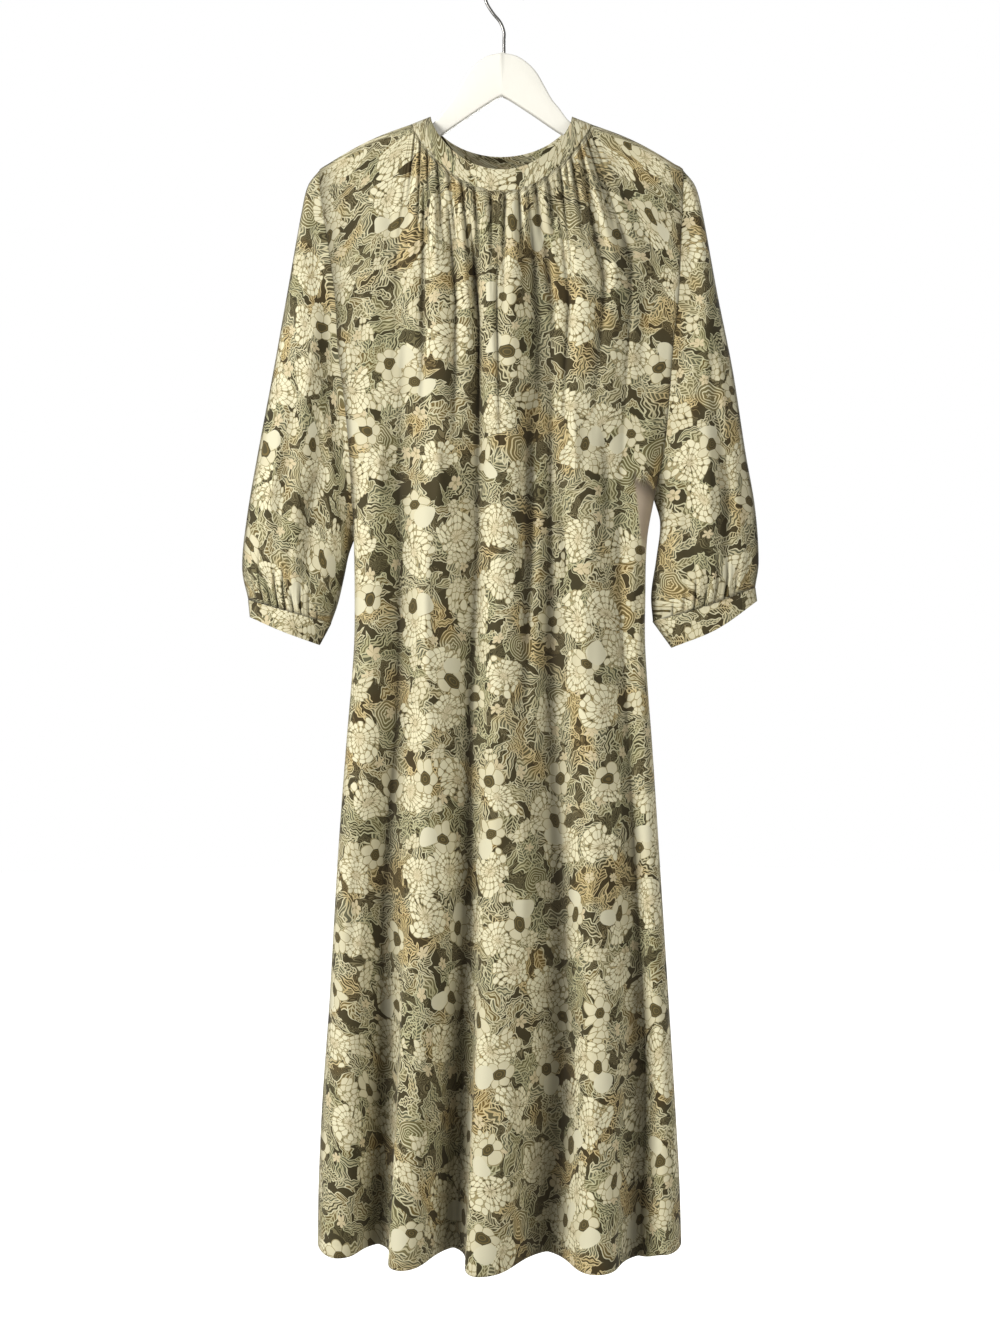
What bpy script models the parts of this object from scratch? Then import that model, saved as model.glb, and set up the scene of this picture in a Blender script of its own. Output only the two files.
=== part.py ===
"""A long-sleeved midi dress, gathered into a round neckband, on a white wooden hanger with a wire hook.

Metres, +Z up. The origin is where the hook rests, at the inside of its crown. The wearer's front faces -Y,
and +X is the viewer's right. Tables give millimetres: a drop is how far a point lies below the origin.
"""

import math
from collections import namedtuple

import bmesh
import bpy

MM = 0.001

# Cloth
WALL = 1.2
BAND_WALL = 1.6
# Two mid-surfaces end this far apart at a seam where they run on in line, and further apart where they turn.
SEAM = 0.7
SEAM_TURNED = 1.7
# Where a front and a back wall meet at a side seam, each mid-surface stops this far from the middle plane.
SEAM_Y = WALL / 2 + 0.15

# Body. Near the neck a panel has two fine columns for each column of the folds below.
COLUMNS_A_FLANK = {"front": 5, "back": 4}
FINE_A_COLUMN = 2
SHOULDER_TIP_DROP = 221
UNDERARM_LEFT_DROP = 635
UNDERARM_RIGHT_DROP = 590
SIDE_HEM_DROP = 1420
GATHER_ROWS = (221, 225, 232, 243, 266, 301, 341)
BODY_ROWS = (401, 465, 529, 590, 635, 710, 810, 920, 1030, 1140, 1240, 1340, 1420)
SHOULDER_ROLL = 13
NECK_EASE = 110
# A side edge that stands off the middle plane by less than this is turned round to it.
SIDE_TURN = 8

Outline = namedtuple("Outline", "drop left right")
BODY_OUTLINE = (
    Outline(221, -206, 200),
    Outline(255, -204, 199),
    Outline(299, -197, 197),
    Outline(367, -188, 194),
    Outline(423, -185, 188),
    Outline(479, -178, 184),
    Outline(535, -173, 179),
    Outline(590, -170, 168),
    Outline(635, -168, 160),
    Outline(703, -167, 158),
    Outline(759, -168, 158),
    Outline(871, -177, 166),
    Outline(994, -186, 174),
    Outline(1151, -195, 184),
    Outline(1263, -203, 191),
    Outline(1352, -207, 196),
    Outline(1420, -208, 198),
)
# How far each panel's edge stands off the middle plane, round the armhole and down the side seam
EDGE_DEPTH = (
    Outline(221, 12, 12),
    Outline(266, 13, 13),
    Outline(341, 17, 17),
    Outline(465, 17, 15),
    Outline(529, 15, 9),
    Outline(590, 9, SEAM_Y),
    Outline(635, SEAM_Y, SEAM_Y),
    Outline(1420, SEAM_Y, SEAM_Y),
)

# Fold lines from the yoke to the hem, crests and troughs in turn from the viewer's left
Levels = namedtuple("Levels", "yoke bust waist hip thigh knee hem")
LEVEL_DROP = Levels(367, 512, 658, 837, 1039, 1218, 1430)
Fold = namedtuple("Fold", "name across depth hem_drop")
FRONT_FOLDS = (
    Fold("left side", Levels(-139, -148, -144, -152, -170, -172, -183), Levels(22, 24, 26, 30, 36, 44, 52), 1426),
    Fold("left trough", Levels(-111, -116, -116, -119, -132, -134, -141), Levels(26, 18, 14, 13, 11, 8, 6), 1422),
    Fold("left crest", Levels(-69, -72, -83, -81, -88, -98, -112), Levels(38, 38, 38, 42, 48, 58, 72), 1434),
    Fold("inner trough", Levels(-29, -29, -30, -37, -40, -49, -57), Levels(34, 22, 17, 15, 12, 8, 6), 1426),
    Fold("middle crest", Levels(-8, -4, -4, -8, -8, -16, -28), Levels(46, 42, 40, 42, 48, 60, 75), 1440),
    Fold("long trough", Levels(54, 52, 52, 54, 63, 65, 48), Levels(34, 20, 16, 14, 12, 10, 8), 1430),
    Fold("right crest", Levels(91, 80, 91, 96, 99, 99, 101), Levels(42, 38, 38, 41, 49, 60, 74), 1438),
    Fold("right trough", Levels(139, 132, 128, 137, 148, 156, 150), Levels(28, 22, 17, 18, 15, 12, 10), 1434),
    Fold("right side", Levels(169, 158, 144, 152, 162, 174, 176), Levels(20, 20, 20, 24, 28, 34, 42), 1425),
)
BACK_FOLDS = (
    Fold("left side", Levels(-148, -152, -150, -158, -168, -175, -180), Levels(20, 22, 24, 28, 36, 44, 54), 1425),
    Fold("left trough", Levels(-105, -110, -114, -119, -125, -130, -133), Levels(24, 18, 15, 13, 11, 9, 8), 1422),
    Fold("left crest", Levels(-55, -60, -65, -67, -72, -76, -80), Levels(34, 35, 34, 38, 46, 56, 68), 1434),
    Fold("middle trough", Levels(-5, -7, -9, -11, -15, -20, -26), Levels(27, 20, 16, 14, 12, 10, 8), 1425),
    Fold("right crest", Levels(46, 46, 46, 46, 44, 40, 34), Levels(35, 36, 35, 40, 48, 58, 70), 1436),
    Fold("right trough", Levels(96, 99, 99, 101, 103, 106, 105), Levels(24, 18, 15, 13, 11, 9, 8), 1423),
    Fold("right side", Levels(148, 144, 140, 144, 152, 162, 168), Levels(20, 20, 22, 27, 34, 42, 52), 1426),
)

# Neck. The seam between the panels and the band, and the band's free edge, are ovals that dip at front and back.
NECK_MIDDLE = -3
Neck = namedtuple("Neck", "half_width end_drop dip bow depth")
BAND_SEAM = {"front": Neck(101, 171, 85, 1.75, 48), "back": Neck(101, 171, 50, 1.5, 38)}
BAND_EDGE = {"front": Neck(79, 162, 69, 1.35, 45), "back": Neck(79, 162, 36, 1.3, 36)}
SHOULDER_COLUMNS = {"front": 12, "back": 8}
SHOULDER_BEND = 5
NECK_SEAM = 1.1
# Each gather takes four fine columns. It dies out over its fade, and two of them run together in a pleat that
# rises and dies out in turn. Both are measured down from the seam.
Fade = namedtuple("Fade", "start length")
GATHER_COLUMNS = 4
GATHER_HEIGHT = 2.1
GATHER_UNEVEN = 0.2
GATHER_FADE = Fade(35, 90)
PLEAT_HEIGHT = 3.2
PLEAT_RISE = 70
PLEAT_FADE = Fade(90, 150)
END_GATHERS = 3

# Sleeves. Points run down the outer fold and down the underarm seam to the cuff.
UNDERARM_TURN = 110
Point = namedtuple("Point", "x drop")
Sleeve = namedtuple("Sleeve", "side outer inner cuff_seam cuff_edge folds")
SleeveFold = namedtuple("SleeveFold", "face across half_width start end depth")
SLEEVE_ROWS = (0.05, 0.13, 0.22, 0.34, 0.47, 0.60, 0.73, 0.85, 0.94, 1.0)
SLEEVE_FINE_ROWS = 2
SLEEVE_FINE_A_COLUMN = 4
SLEEVE_DEPTH = {0.0: 16, 0.2: 24, 0.5: 30, 0.8: 33, 0.92: 31, 1.0: 21}
# The share of a sleeve's length over which it takes up its own depth, and how blunt its section is
SLEEVE_SETTLE = 0.35
SLEEVE_BLUNT = 0.7
CUFF_GATHER_HEIGHT = 1.4
CUFF_HEIGHT = 26
CUFF_COLUMNS = 32
BAND_ROWS = 2
SLEEVES = (
    Sleeve(
        "left",
        (Point(-219, 238), Point(-226, 266), Point(-242, 356), Point(-258, 446), Point(-275, 536), Point(-288, 612), Point(-293, 668)),
        (Point(-174, 652), Point(-179, 676), Point(-186, 706)),
        (Point(-194, 729), Point(-240, 716), Point(-286, 703)),
        (Point(-207, 753), Point(-247, 738), Point(-284, 722)),
        (
            SleeveFold("front", 0.30, 0.16, 0.30, 0.97, 6),
            SleeveFold("front", 0.62, 0.14, 0.45, 1.00, 5),
            SleeveFold("back", 0.45, 0.18, 0.35, 1.00, 6),
        ),
    ),
    Sleeve(
        "right",
        (Point(214, 239), Point(222, 269), Point(238, 356), Point(256, 446), Point(270, 536), Point(281, 600), Point(285, 660)),
        (Point(175, 616), Point(171, 655), Point(165, 697)),
        (Point(167, 727), Point(222, 711), Point(281, 689)),
        (Point(188, 756), Point(236, 736), Point(283, 704)),
        (
            SleeveFold("front", 0.66, 0.15, 0.40, 1.00, 7),
            SleeveFold("front", 0.34, 0.14, 0.50, 0.96, 4),
            SleeveFold("back", 0.50, 0.18, 0.35, 1.00, 6),
        ),
    ),
)

# Hanger: the outline of one flat board, from the top of its arch to a tip and back under the arm
HANGER_THICK = 12
HANGER_ROUND = 2.5
HANGER_MIDDLE = -2
HANGER_OUTLINE = (
    Point(0, 91),
    Point(15, 94),
    Point(27, 101),
    Point(38, 112),
    Point(48, 129),
    Point(56, 143),
    Point(65, 154),
    Point(73, 165),
    Point(83, 173),
    Point(100, 177.5),
    Point(125, 185.4),
    Point(160, 198.9),
    Point(184, 212.4),
    Point(194, 222.5),
    Point(196, 234),
    Point(189, 240),
    Point(174, 235),
    Point(120, 210),
    Point(68, 182),
    Point(30, 157),
    Point(8, 143),
    Point(0, 139),
)
HANGER_STEP = 9

# Hook
WIRE = 3.6
HOOK_RADIUS = 22.4
HOOK_STEM = (Point(0, 78), Point(0, 67), Point(-4, 56), Point(-12, 46), Point(-18.5, 36), Point(-21.6, 28))
HOOK_START = 192
HOOK_END = -24
HOOK_TURNS = 22

SOFT = {"roughness": 0.85, "metallic": 0.0}
FINISHES = {
    "floral_cloth": ("#8F8666", SOFT),
    "band_cloth": ("#9A916F", SOFT),
    "white_paint": ("#F4F0EA", {"roughness": 0.35, "metallic": 0.0}),
    "bright_steel": ("#A9A8A4", {"roughness": 0.25, "metallic": 1.0}),
}


def linear(hex_colour):
    """An sRGB hex colour as linear values."""
    values = [int(hex_colour[i : i + 2], 16) / 255 for i in (1, 3, 5)]
    return [v / 12.92 if v <= 0.04045 else ((v + 0.055) / 1.055) ** 2.4 for v in values]


def mix(a, b, share):
    return a + (b - a) * share


def ease(share):
    """0 to 1 with a level start and end."""
    share = min(max(share, 0.0), 1.0)
    return (1 - math.cos(math.pi * share)) / 2


def through(at, places, values):
    """A smooth curve through values at places, held level past both ends."""
    if at <= places[0]:
        return values[0]
    if at >= places[-1]:
        return values[-1]
    i = next(n for n in range(len(places) - 1) if at <= places[n + 1])
    slopes = []
    for n in (i, i + 1):
        low, high = max(n - 1, 0), min(n + 1, len(places) - 1)
        slopes.append((values[high] - values[low]) / (places[high] - places[low]))
    span = places[i + 1] - places[i]
    t = (at - places[i]) / span
    bend = t * t * (3 - 2 * t)
    start = slopes[0] * span * t * (1 - t) ** 2
    finish = slopes[1] * span * t * t * (1 - t)
    return mix(values[i], values[i + 1], bend) + start - finish


def column_of(table, name, drop):
    return through(drop, [row.drop for row in table], [getattr(row, name) for row in table])


def along(points, share):
    """The point at a share of the way along a polyline, smoothed through its points."""
    steps = [0.0]
    for a, b in zip(points, points[1:]):
        steps.append(steps[-1] + math.hypot(b.x - a.x, b.drop - a.drop))
    at = share * steps[-1]
    return Point(through(at, steps, [p.x for p in points]), through(at, steps, [p.drop for p in points]))


def neck_point(neck, share):
    """A point of one half of a neck oval, from the viewer's left shoulder to the right: x, drop, depth."""
    reach = math.sin(math.pi * share)
    x = NECK_MIDDLE - neck.half_width * math.cos(math.pi * share)
    return x, neck.end_drop + neck.dip * reach**neck.bow, SEAM_Y + neck.depth * reach


def flank_columns(face):
    return COLUMNS_A_FLANK[face] * FINE_A_COLUMN


def fine_columns(face):
    folds = FRONT_FOLDS if face == "front" else BACK_FOLDS
    return (len(folds) + 1) * flank_columns(face)


def top_point(face, column):
    """A point of a panel's top edge: along one shoulder, the neck seam and the other shoulder."""
    last, shoulder = fine_columns(face), SHOULDER_COLUMNS[face]
    seam = BAND_SEAM[face]
    if shoulder <= column <= last - shoulder:
        share = (column - shoulder) / (last - 2 * shoulder)
        low, high = neck_point(seam, share), neck_point(BAND_EDGE[face], share)
        reach = 1 + NECK_SEAM / math.dist(low, high)
        return tuple(mix(b, a, reach) for a, b in zip(low, high))
    left = column < shoulder
    share = (column if left else last - column) / shoulder
    tip = BODY_OUTLINE[0].left if left else BODY_OUTLINE[0].right
    end_x, end_drop, _ = top_point(face, shoulder if left else last - shoulder)
    drop = mix(SHOULDER_TIP_DROP, end_drop, share) - SHOULDER_BEND * math.sin(math.pi * share)
    return mix(tip, end_x, share), drop, SEAM_Y


def fold_section(face, column, drop):
    """x and depth of a panel where its folds are whole, at one fine column and one drop."""
    folds = FRONT_FOLDS if face == "front" else BACK_FOLDS
    edges = {side: (column_of(BODY_OUTLINE, side, drop), column_of(EDGE_DEPTH, side, drop)) for side in ("left", "right")}
    lines = [edges["left"]]
    lines += [(through(drop, LEVEL_DROP, fold.across), through(drop, LEVEL_DROP, fold.depth)) for fold in folds]
    lines.append(edges["right"])
    flank = flank_columns(face)
    i = min(int(column // flank), len(lines) - 2)
    q = column / flank - i
    (x0, y0), (x1, y1) = lines[i], lines[i + 1]
    across, rise = q, ease(q)
    if i in (0, len(lines) - 2):
        # Below the underarm a panel turns round to its side seam. Above it the panel runs level to the armhole.
        turn = 1 - min(max((min(y0, y1) - SEAM_Y) / SIDE_TURN, 0.0), 1.0)
        angle = math.pi / 2 * q
        round_x = 1 - math.cos(angle) if i == 0 else math.sin(angle)
        round_y = math.sin(angle) if i == 0 else 1 - math.cos(angle)
        across, rise = mix(q, round_x, turn), mix(ease(q), round_y, turn)
    return mix(x0, x1, across), max(mix(y0, y1, rise), SEAM_Y)


def hem_drop(face, column):
    folds = FRONT_FOLDS if face == "front" else BACK_FOLDS
    drops = [SIDE_HEM_DROP] + [fold.hem_drop for fold in folds] + [SIDE_HEM_DROP]
    flank = flank_columns(face)
    i = min(int(column // flank), len(drops) - 2)
    return mix(drops[i], drops[i + 1], ease(column / flank - i))


def gather_wave(face, column, below):
    """Gathers at the neck seam, which run together in pairs and then into the folds below."""
    shoulder, last = SHOULDER_COLUMNS[face], fine_columns(face)
    if not shoulder < column < last - shoulder:
        return 0.0
    turn = 2 * math.pi * (column - shoulder) / GATHER_COLUMNS
    edge = min(column - shoulder, last - shoulder - column) / GATHER_COLUMNS
    fade_in = ease(edge / END_GATHERS)
    uneven = 1 + GATHER_UNEVEN * math.sin(2.4 * turn / math.pi)
    small = GATHER_HEIGHT * uneven * (1 - ease((below - GATHER_FADE.start) / GATHER_FADE.length))
    pairs = PLEAT_HEIGHT * ease(below / PLEAT_RISE) * (1 - ease((below - PLEAT_FADE.start) / PLEAT_FADE.length))
    return fade_in * (small * math.sin(turn) + pairs * math.sin(turn / 2 + 0.6))


def panel_point(face, column, side_drop):
    """A point of the front or back panel's mid-surface, in metres. side_drop is its row's drop at the side seam."""
    top_x, top_drop, top_depth = top_point(face, column)
    share = (side_drop - SHOULDER_TIP_DROP) / (SIDE_HEM_DROP - SHOULDER_TIP_DROP)
    drop = mix(top_drop, hem_drop(face, column), share)
    below = drop - top_drop
    fold_x, fold_depth = fold_section(face, column, drop)
    settle = ease(below / NECK_EASE)
    x = mix(top_x, fold_x, min(below / (LEVEL_DROP.yoke - SHOULDER_TIP_DROP), 1.0))
    if column in (0, fine_columns(face)):
        x = fold_x
    roll = max(SHOULDER_ROLL - top_depth, 0)
    arc = math.sqrt(1 - (1 - min(below / SHOULDER_ROLL, 1)) ** 2)
    depth = top_depth + roll * arc + (fold_depth - top_depth - roll) * settle
    depth = max(depth + gather_wave(face, column, below), SEAM_Y)
    # Edge columns lie on the armhole and the side seam, and end at the middle plane at the underarm.
    if column in (0, fine_columns(face)) and below > NECK_EASE:
        depth = fold_depth
    return x * MM, (-depth if face == "front" else depth) * MM, -drop * MM


def armhole(face, side):
    """The panel's points round the armhole, from the underarm up to the shoulder tip, each moved out over the seam."""
    column = 0 if side == "left" else fine_columns(face)
    out = -MM if side == "left" else MM
    under = UNDERARM_LEFT_DROP if side == "left" else UNDERARM_RIGHT_DROP
    rows = [row for row in reversed(GATHER_ROWS + BODY_ROWS) if row <= under]
    moved = []
    for row in rows:
        x, y, z = panel_point(face, column, row)
        gap = mix(SEAM_TURNED, SEAM, ease((under - row) / UNDERARM_TURN))
        moved.append((x + gap * out, y, z))
    # The underarm and the shoulder tip lie on the fold where the sleeve's two faces join.
    for end in (0, -1):
        x, y, z = moved[end]
        moved[end] = (x, 0.0, z)
    return moved


def sleeve_depth(share):
    return through(share, list(SLEEVE_DEPTH), list(SLEEVE_DEPTH.values()))


def sleeve_point(sleeve, face, s, t):
    """A point of one half of a sleeve. s runs from the underarm seam to the outer fold, t from armhole to cuff."""
    start = armhole(face, sleeve.side)
    at = s * (len(start) - 1)
    i = min(int(at), len(start) - 2)
    first = [mix(a, b, at - i) for a, b in zip(start[i], start[i + 1])]
    tip, under = start[-1], start[0]
    outer_line = (Point(tip[0] / MM, -tip[2] / MM),) + sleeve.outer + (sleeve.cuff_seam[-1],)
    inner_line = (Point(under[0] / MM, -under[2] / MM),) + sleeve.inner + (sleeve.cuff_seam[0],)
    outer, inner = along(outer_line, t), along(inner_line, t)
    last = along(sleeve.cuff_seam, s)
    corners = (inner_line[0], outer_line[0], inner_line[-1], outer_line[-1])

    def coons(get):
        a, b, c, d = (get(corner) for corner in corners)
        ruled = mix(get(inner), get(outer), s) + mix(get(Point(first[0] / MM, -first[2] / MM)), get(last), t)
        return ruled - mix(mix(a, b, s), mix(c, d, s), t)

    x, drop = coons(lambda p: p.x), coons(lambda p: p.drop)
    half = math.sin(math.pi * s) ** SLEEVE_BLUNT if 0 < s < 1 else 0.0
    free = sleeve_depth(t) * half
    for fold in sleeve.folds:
        if fold.face == face and abs(s - fold.across) < fold.half_width and fold.start < t <= fold.end:
            bell = math.cos(math.pi / 2 * (s - fold.across) / fold.half_width) ** 2
            free -= fold.depth * bell * math.sin(math.pi * min((t - fold.start) / (fold.end - fold.start), 1)) ** 0.5
    depth = mix(abs(first[1]) / MM, free, ease(t / SLEEVE_SETTLE))
    sign = -1 if face == "front" else 1
    return x * MM, sign * depth * MM, -drop * MM


def cuff_point(sleeve, around, down):
    """A point of a cuff: around from the underarm seam over the front to the outer fold and back, down from seam to edge."""
    face = "front" if around <= 0.5 else "back"
    s = 2 * around if face == "front" else 2 - 2 * around
    seam, edge = along(sleeve.cuff_seam, s), along(sleeve.cuff_edge, s)
    depth = (sleeve_depth(1.0) - 1) * math.sin(math.pi * s) ** SLEEVE_BLUNT if 0 < s < 1 else 0.0
    sign = -1 if face == "front" else 1
    return mix(seam.x, edge.x, down) * MM, sign * depth * MM, -mix(seam.drop, edge.drop, down) * MM


def grid(columns, rows, place):
    """A bmesh grid with each vertex at place(column, row), and its vertices by column and row."""
    mesh = bmesh.new()
    bmesh.ops.create_grid(mesh, x_segments=columns, y_segments=rows, size=0.5)
    named = {}
    for vertex in mesh.verts:
        column = round((vertex.co.x + 0.5) * columns)
        row = round((0.5 - vertex.co.y) * rows)
        named[column, row] = vertex
    for (column, row), vertex in named.items():
        vertex.co = place(column, row)
    return mesh, named


def merge_columns(mesh, named, columns, rows, keep_every):
    """Joins the fine columns into wide ones in the given rows of faces."""
    rows = set(rows)
    gone = []
    for (column, row), vertex in named.items():
        below = named.get((column, row + 1))
        if column % keep_every and below and row in rows and column < columns:
            gone.append(mesh.edges.get((vertex, below)))
    inner = [v for (c, r), v in named.items() if c % keep_every and {r - 1, r} <= rows | {max(rows) + 1}]
    bmesh.ops.dissolve_edges(mesh, edges=gone, use_verts=False)
    ends = [v for v in inner if v.is_valid and len(v.link_edges) == 2]
    bmesh.ops.dissolve_verts(mesh, verts=ends)


def cloth_object(name, mesh, wall, finish):
    """An object of the open surface, thickened evenly to both sides."""
    data = bpy.data.meshes.new(name)
    mesh.to_mesh(data)
    mesh.free()
    data.shade_smooth()
    obj = bpy.data.objects.new(name, data)
    thicken = obj.modifiers.new("wall", "SOLIDIFY")
    thicken.thickness = wall * MM
    thicken.offset = 0
    thicken.use_quality_normals = True
    paint(obj, finish)
    return obj


def paint(obj, finish):
    material = bpy.data.materials.get(finish)
    if not material:
        colour, values = FINISHES[finish]
        material = bpy.data.materials.new(finish)
        material.use_nodes = True
        shader = material.node_tree.nodes["Principled BSDF"]
        shader.inputs["Base Color"].default_value = (*linear(colour), 1)
        shader.inputs["Roughness"].default_value = values["roughness"]
        shader.inputs["Metallic"].default_value = values["metallic"]
    obj.data.materials.append(material)


def make_panel(face):
    rows = GATHER_ROWS + BODY_ROWS
    columns = fine_columns(face)
    mesh, named = grid(columns, len(rows) - 1, lambda c, r: panel_point(face, c, rows[r]))
    merge_columns(mesh, named, columns, range(len(GATHER_ROWS) - 1, len(rows) - 1), FINE_A_COLUMN)
    return cloth_object(f"dress_{face}", mesh, WALL, "floral_cloth")


def make_sleeve(sleeve):
    half = len(armhole("front", sleeve.side)) - 1
    fine = 2 * half * SLEEVE_FINE_A_COLUMN
    rows = (0.0,) + SLEEVE_ROWS

    def place(column, row):
        around = column / fine
        face = "front" if around <= 0.5 else "back"
        s = 2 * around if face == "front" else 2 - 2 * around
        x, y, z = sleeve_point(sleeve, face, s, rows[row])
        if row >= len(rows) - SLEEVE_FINE_ROWS and 0 < column < fine:
            wave = CUFF_GATHER_HEIGHT * math.sin(2 * math.pi * column / GATHER_COLUMNS) * math.sin(math.pi * s)
            y += wave * MM if face == "back" else -wave * MM
        return x, y, z

    mesh, named = grid(fine, len(rows) - 1, place)
    wide = range(len(rows) - 1 - SLEEVE_FINE_ROWS)
    merge_columns(mesh, named, fine, wide, SLEEVE_FINE_A_COLUMN)
    bmesh.ops.remove_doubles(mesh, verts=mesh.verts, dist=0.00001)
    return cloth_object(f"sleeve_{sleeve.side}", mesh, WALL, "floral_cloth")


def make_cuff(sleeve):
    def place(column, row):
        down = mix(2 * SEAM / CUFF_HEIGHT, 1, row / BAND_ROWS)
        return cuff_point(sleeve, column / CUFF_COLUMNS, down)

    mesh, _ = grid(CUFF_COLUMNS, BAND_ROWS, place)
    bmesh.ops.remove_doubles(mesh, verts=mesh.verts, dist=0.00001)
    return cloth_object(f"cuff_{sleeve.side}", mesh, BAND_WALL, "band_cloth")


def make_neckband():
    # Its columns match those of the gathered seams below it.
    front, back = ((fine_columns(face) - 2 * SHOULDER_COLUMNS[face]) // 2 for face in ("front", "back"))
    columns = front + back

    def place(column, row):
        face = "front" if column <= front else "back"
        share = column / front if face == "front" else (columns - column) / back
        low, high = neck_point(BAND_SEAM[face], share), neck_point(BAND_EDGE[face], share)
        x, drop, depth = (mix(a, b, row / BAND_ROWS) for a, b in zip(low, high))
        depth -= SEAM_Y
        return x * MM, (-depth if face == "front" else depth) * MM, -drop * MM

    mesh, _ = grid(columns, BAND_ROWS, place)
    bmesh.ops.remove_doubles(mesh, verts=mesh.verts, dist=0.00001)
    return cloth_object("neckband", mesh, BAND_WALL, "band_cloth")


def spaced(points, step):
    """Evenly spaced points along a smooth line through the given ones."""
    length = sum(math.hypot(b.x - a.x, b.drop - a.drop) for a, b in zip(points, points[1:]))
    count = max(2, round(length / step))
    return [along(points, i / count) for i in range(count + 1)]


def make_hanger():
    right = spaced(HANGER_OUTLINE, HANGER_STEP)
    left = [Point(-p.x, p.drop) for p in reversed(right[1:-1])]
    outline = right + left
    flat = bpy.data.curves.new("hanger", "CURVE")
    flat.dimensions = "2D"
    flat.fill_mode = "BOTH"
    flat.extrude = (HANGER_THICK / 2 - HANGER_ROUND) * MM
    flat.bevel_depth = HANGER_ROUND * MM
    flat.bevel_resolution = 1
    flat.offset = -HANGER_ROUND * MM
    spline = flat.splines.new("POLY")
    spline.points.add(len(outline) - 1)
    for point, place in zip(spline.points, outline):
        point.co = ((HANGER_MIDDLE + place.x) * MM, -place.drop * MM, 0, 1)
    spline.use_cyclic_u = True
    obj = bpy.data.objects.new("hanger", flat)
    obj.rotation_euler = (math.pi / 2, 0, 0)
    paint(obj, "white_paint")
    return obj


def make_hook():
    wire = bpy.data.curves.new("hook", "CURVE")
    wire.dimensions = "3D"
    wire.bevel_depth = WIRE / 2 * MM
    wire.bevel_resolution = 2
    wire.use_fill_caps = True
    foot = Point(0, HANGER_OUTLINE[0].drop - 0.3)
    stem = spaced((foot,) + HOOK_STEM, 6)
    turns = [math.radians(mix(HOOK_START, HOOK_END, i / HOOK_TURNS)) for i in range(HOOK_TURNS + 1)]
    middle = HOOK_RADIUS - WIRE / 2
    ring = [Point(HOOK_RADIUS * math.cos(a), middle - HOOK_RADIUS * math.sin(a)) for a in turns]
    route = stem + ring
    spline = wire.splines.new("POLY")
    spline.points.add(len(route) - 1)
    for point, place in zip(spline.points, route):
        point.co = (place.x * MM, 0, -place.drop * MM, 1)
    obj = bpy.data.objects.new("hook", wire)
    paint(obj, "bright_steel")
    return obj


def main():
    for obj in list(bpy.data.objects):
        bpy.data.objects.remove(obj)
    dress = bpy.data.collections.new("midi_dress")
    bpy.context.scene.collection.children.link(dress)
    pieces = [make_panel("front"), make_panel("back"), make_neckband()]
    pieces += [make_sleeve(sleeve) for sleeve in SLEEVES]
    pieces += [make_cuff(sleeve) for sleeve in SLEEVES]
    pieces += [make_hanger(), make_hook()]
    for piece in pieces:
        dress.objects.link(piece)


main()
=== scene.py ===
"""A long-sleeved midi dress on a white hanger: its cloth, print, seams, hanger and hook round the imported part.

Tables give millimetres: a drop is how far a point lies below the origin, at the inside of the hook's crown.
"""

import math
from collections import namedtuple
from functools import lru_cache, partial

import bmesh
import bpy
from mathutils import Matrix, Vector


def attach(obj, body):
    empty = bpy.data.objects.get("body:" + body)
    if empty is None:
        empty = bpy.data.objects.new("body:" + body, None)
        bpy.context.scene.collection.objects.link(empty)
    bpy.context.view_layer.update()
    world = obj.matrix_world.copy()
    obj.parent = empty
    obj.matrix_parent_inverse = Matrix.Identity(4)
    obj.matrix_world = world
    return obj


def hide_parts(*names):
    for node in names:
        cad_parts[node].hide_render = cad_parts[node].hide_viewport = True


bl_info = {
    "name": "Midi Dress on a Hanger",
    "version": (1, 0, 0),
    "blender": (4, 5, 0),
    "location": "3D View > Sidebar > Dress",
    "description": "Builds a printed midi dress on its hanger round a packed part",
    "category": "Object",
}

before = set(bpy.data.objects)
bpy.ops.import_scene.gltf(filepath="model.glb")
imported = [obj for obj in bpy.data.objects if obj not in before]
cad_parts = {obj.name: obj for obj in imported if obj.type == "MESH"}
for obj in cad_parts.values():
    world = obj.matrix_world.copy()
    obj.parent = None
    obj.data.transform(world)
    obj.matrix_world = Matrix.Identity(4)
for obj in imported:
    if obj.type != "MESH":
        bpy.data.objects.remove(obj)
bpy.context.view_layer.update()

MM = 0.001

# Body. A panel's columns are counted across its folds, with the same number in each flank.
COLUMNS_A_FLANK = {"front": 10, "back": 8}
SEAM_Y = 0.3
SHOULDER_TIP_DROP = 221
UNDERARM_DROP = {"left": 635, "right": 590}
SIDE_HEM_DROP = 1420
SHOULDER_ROLL = 13
NECK_EASE = 110
SIDE_TURN = 8

Outline = namedtuple("Outline", "drop left right")
BODY_OUTLINE = (
    Outline(221, -206, 200),
    Outline(255, -204, 199),
    Outline(299, -197, 197),
    Outline(367, -188, 194),
    Outline(423, -185, 188),
    Outline(479, -178, 184),
    Outline(535, -173, 179),
    Outline(590, -170, 168),
    Outline(635, -168, 160),
    Outline(703, -167, 158),
    Outline(759, -168, 158),
    Outline(871, -177, 166),
    Outline(994, -186, 174),
    Outline(1151, -195, 184),
    Outline(1263, -203, 191),
    Outline(1352, -207, 196),
    Outline(1420, -208, 198),
)
EDGE_DEPTH = (
    Outline(221, 12, 12),
    Outline(266, 13, 13),
    Outline(341, 17, 17),
    Outline(465, 17, 15),
    Outline(529, 15, 9),
    Outline(590, 9, SEAM_Y),
    Outline(635, SEAM_Y, SEAM_Y),
    Outline(1420, SEAM_Y, SEAM_Y),
)

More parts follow.
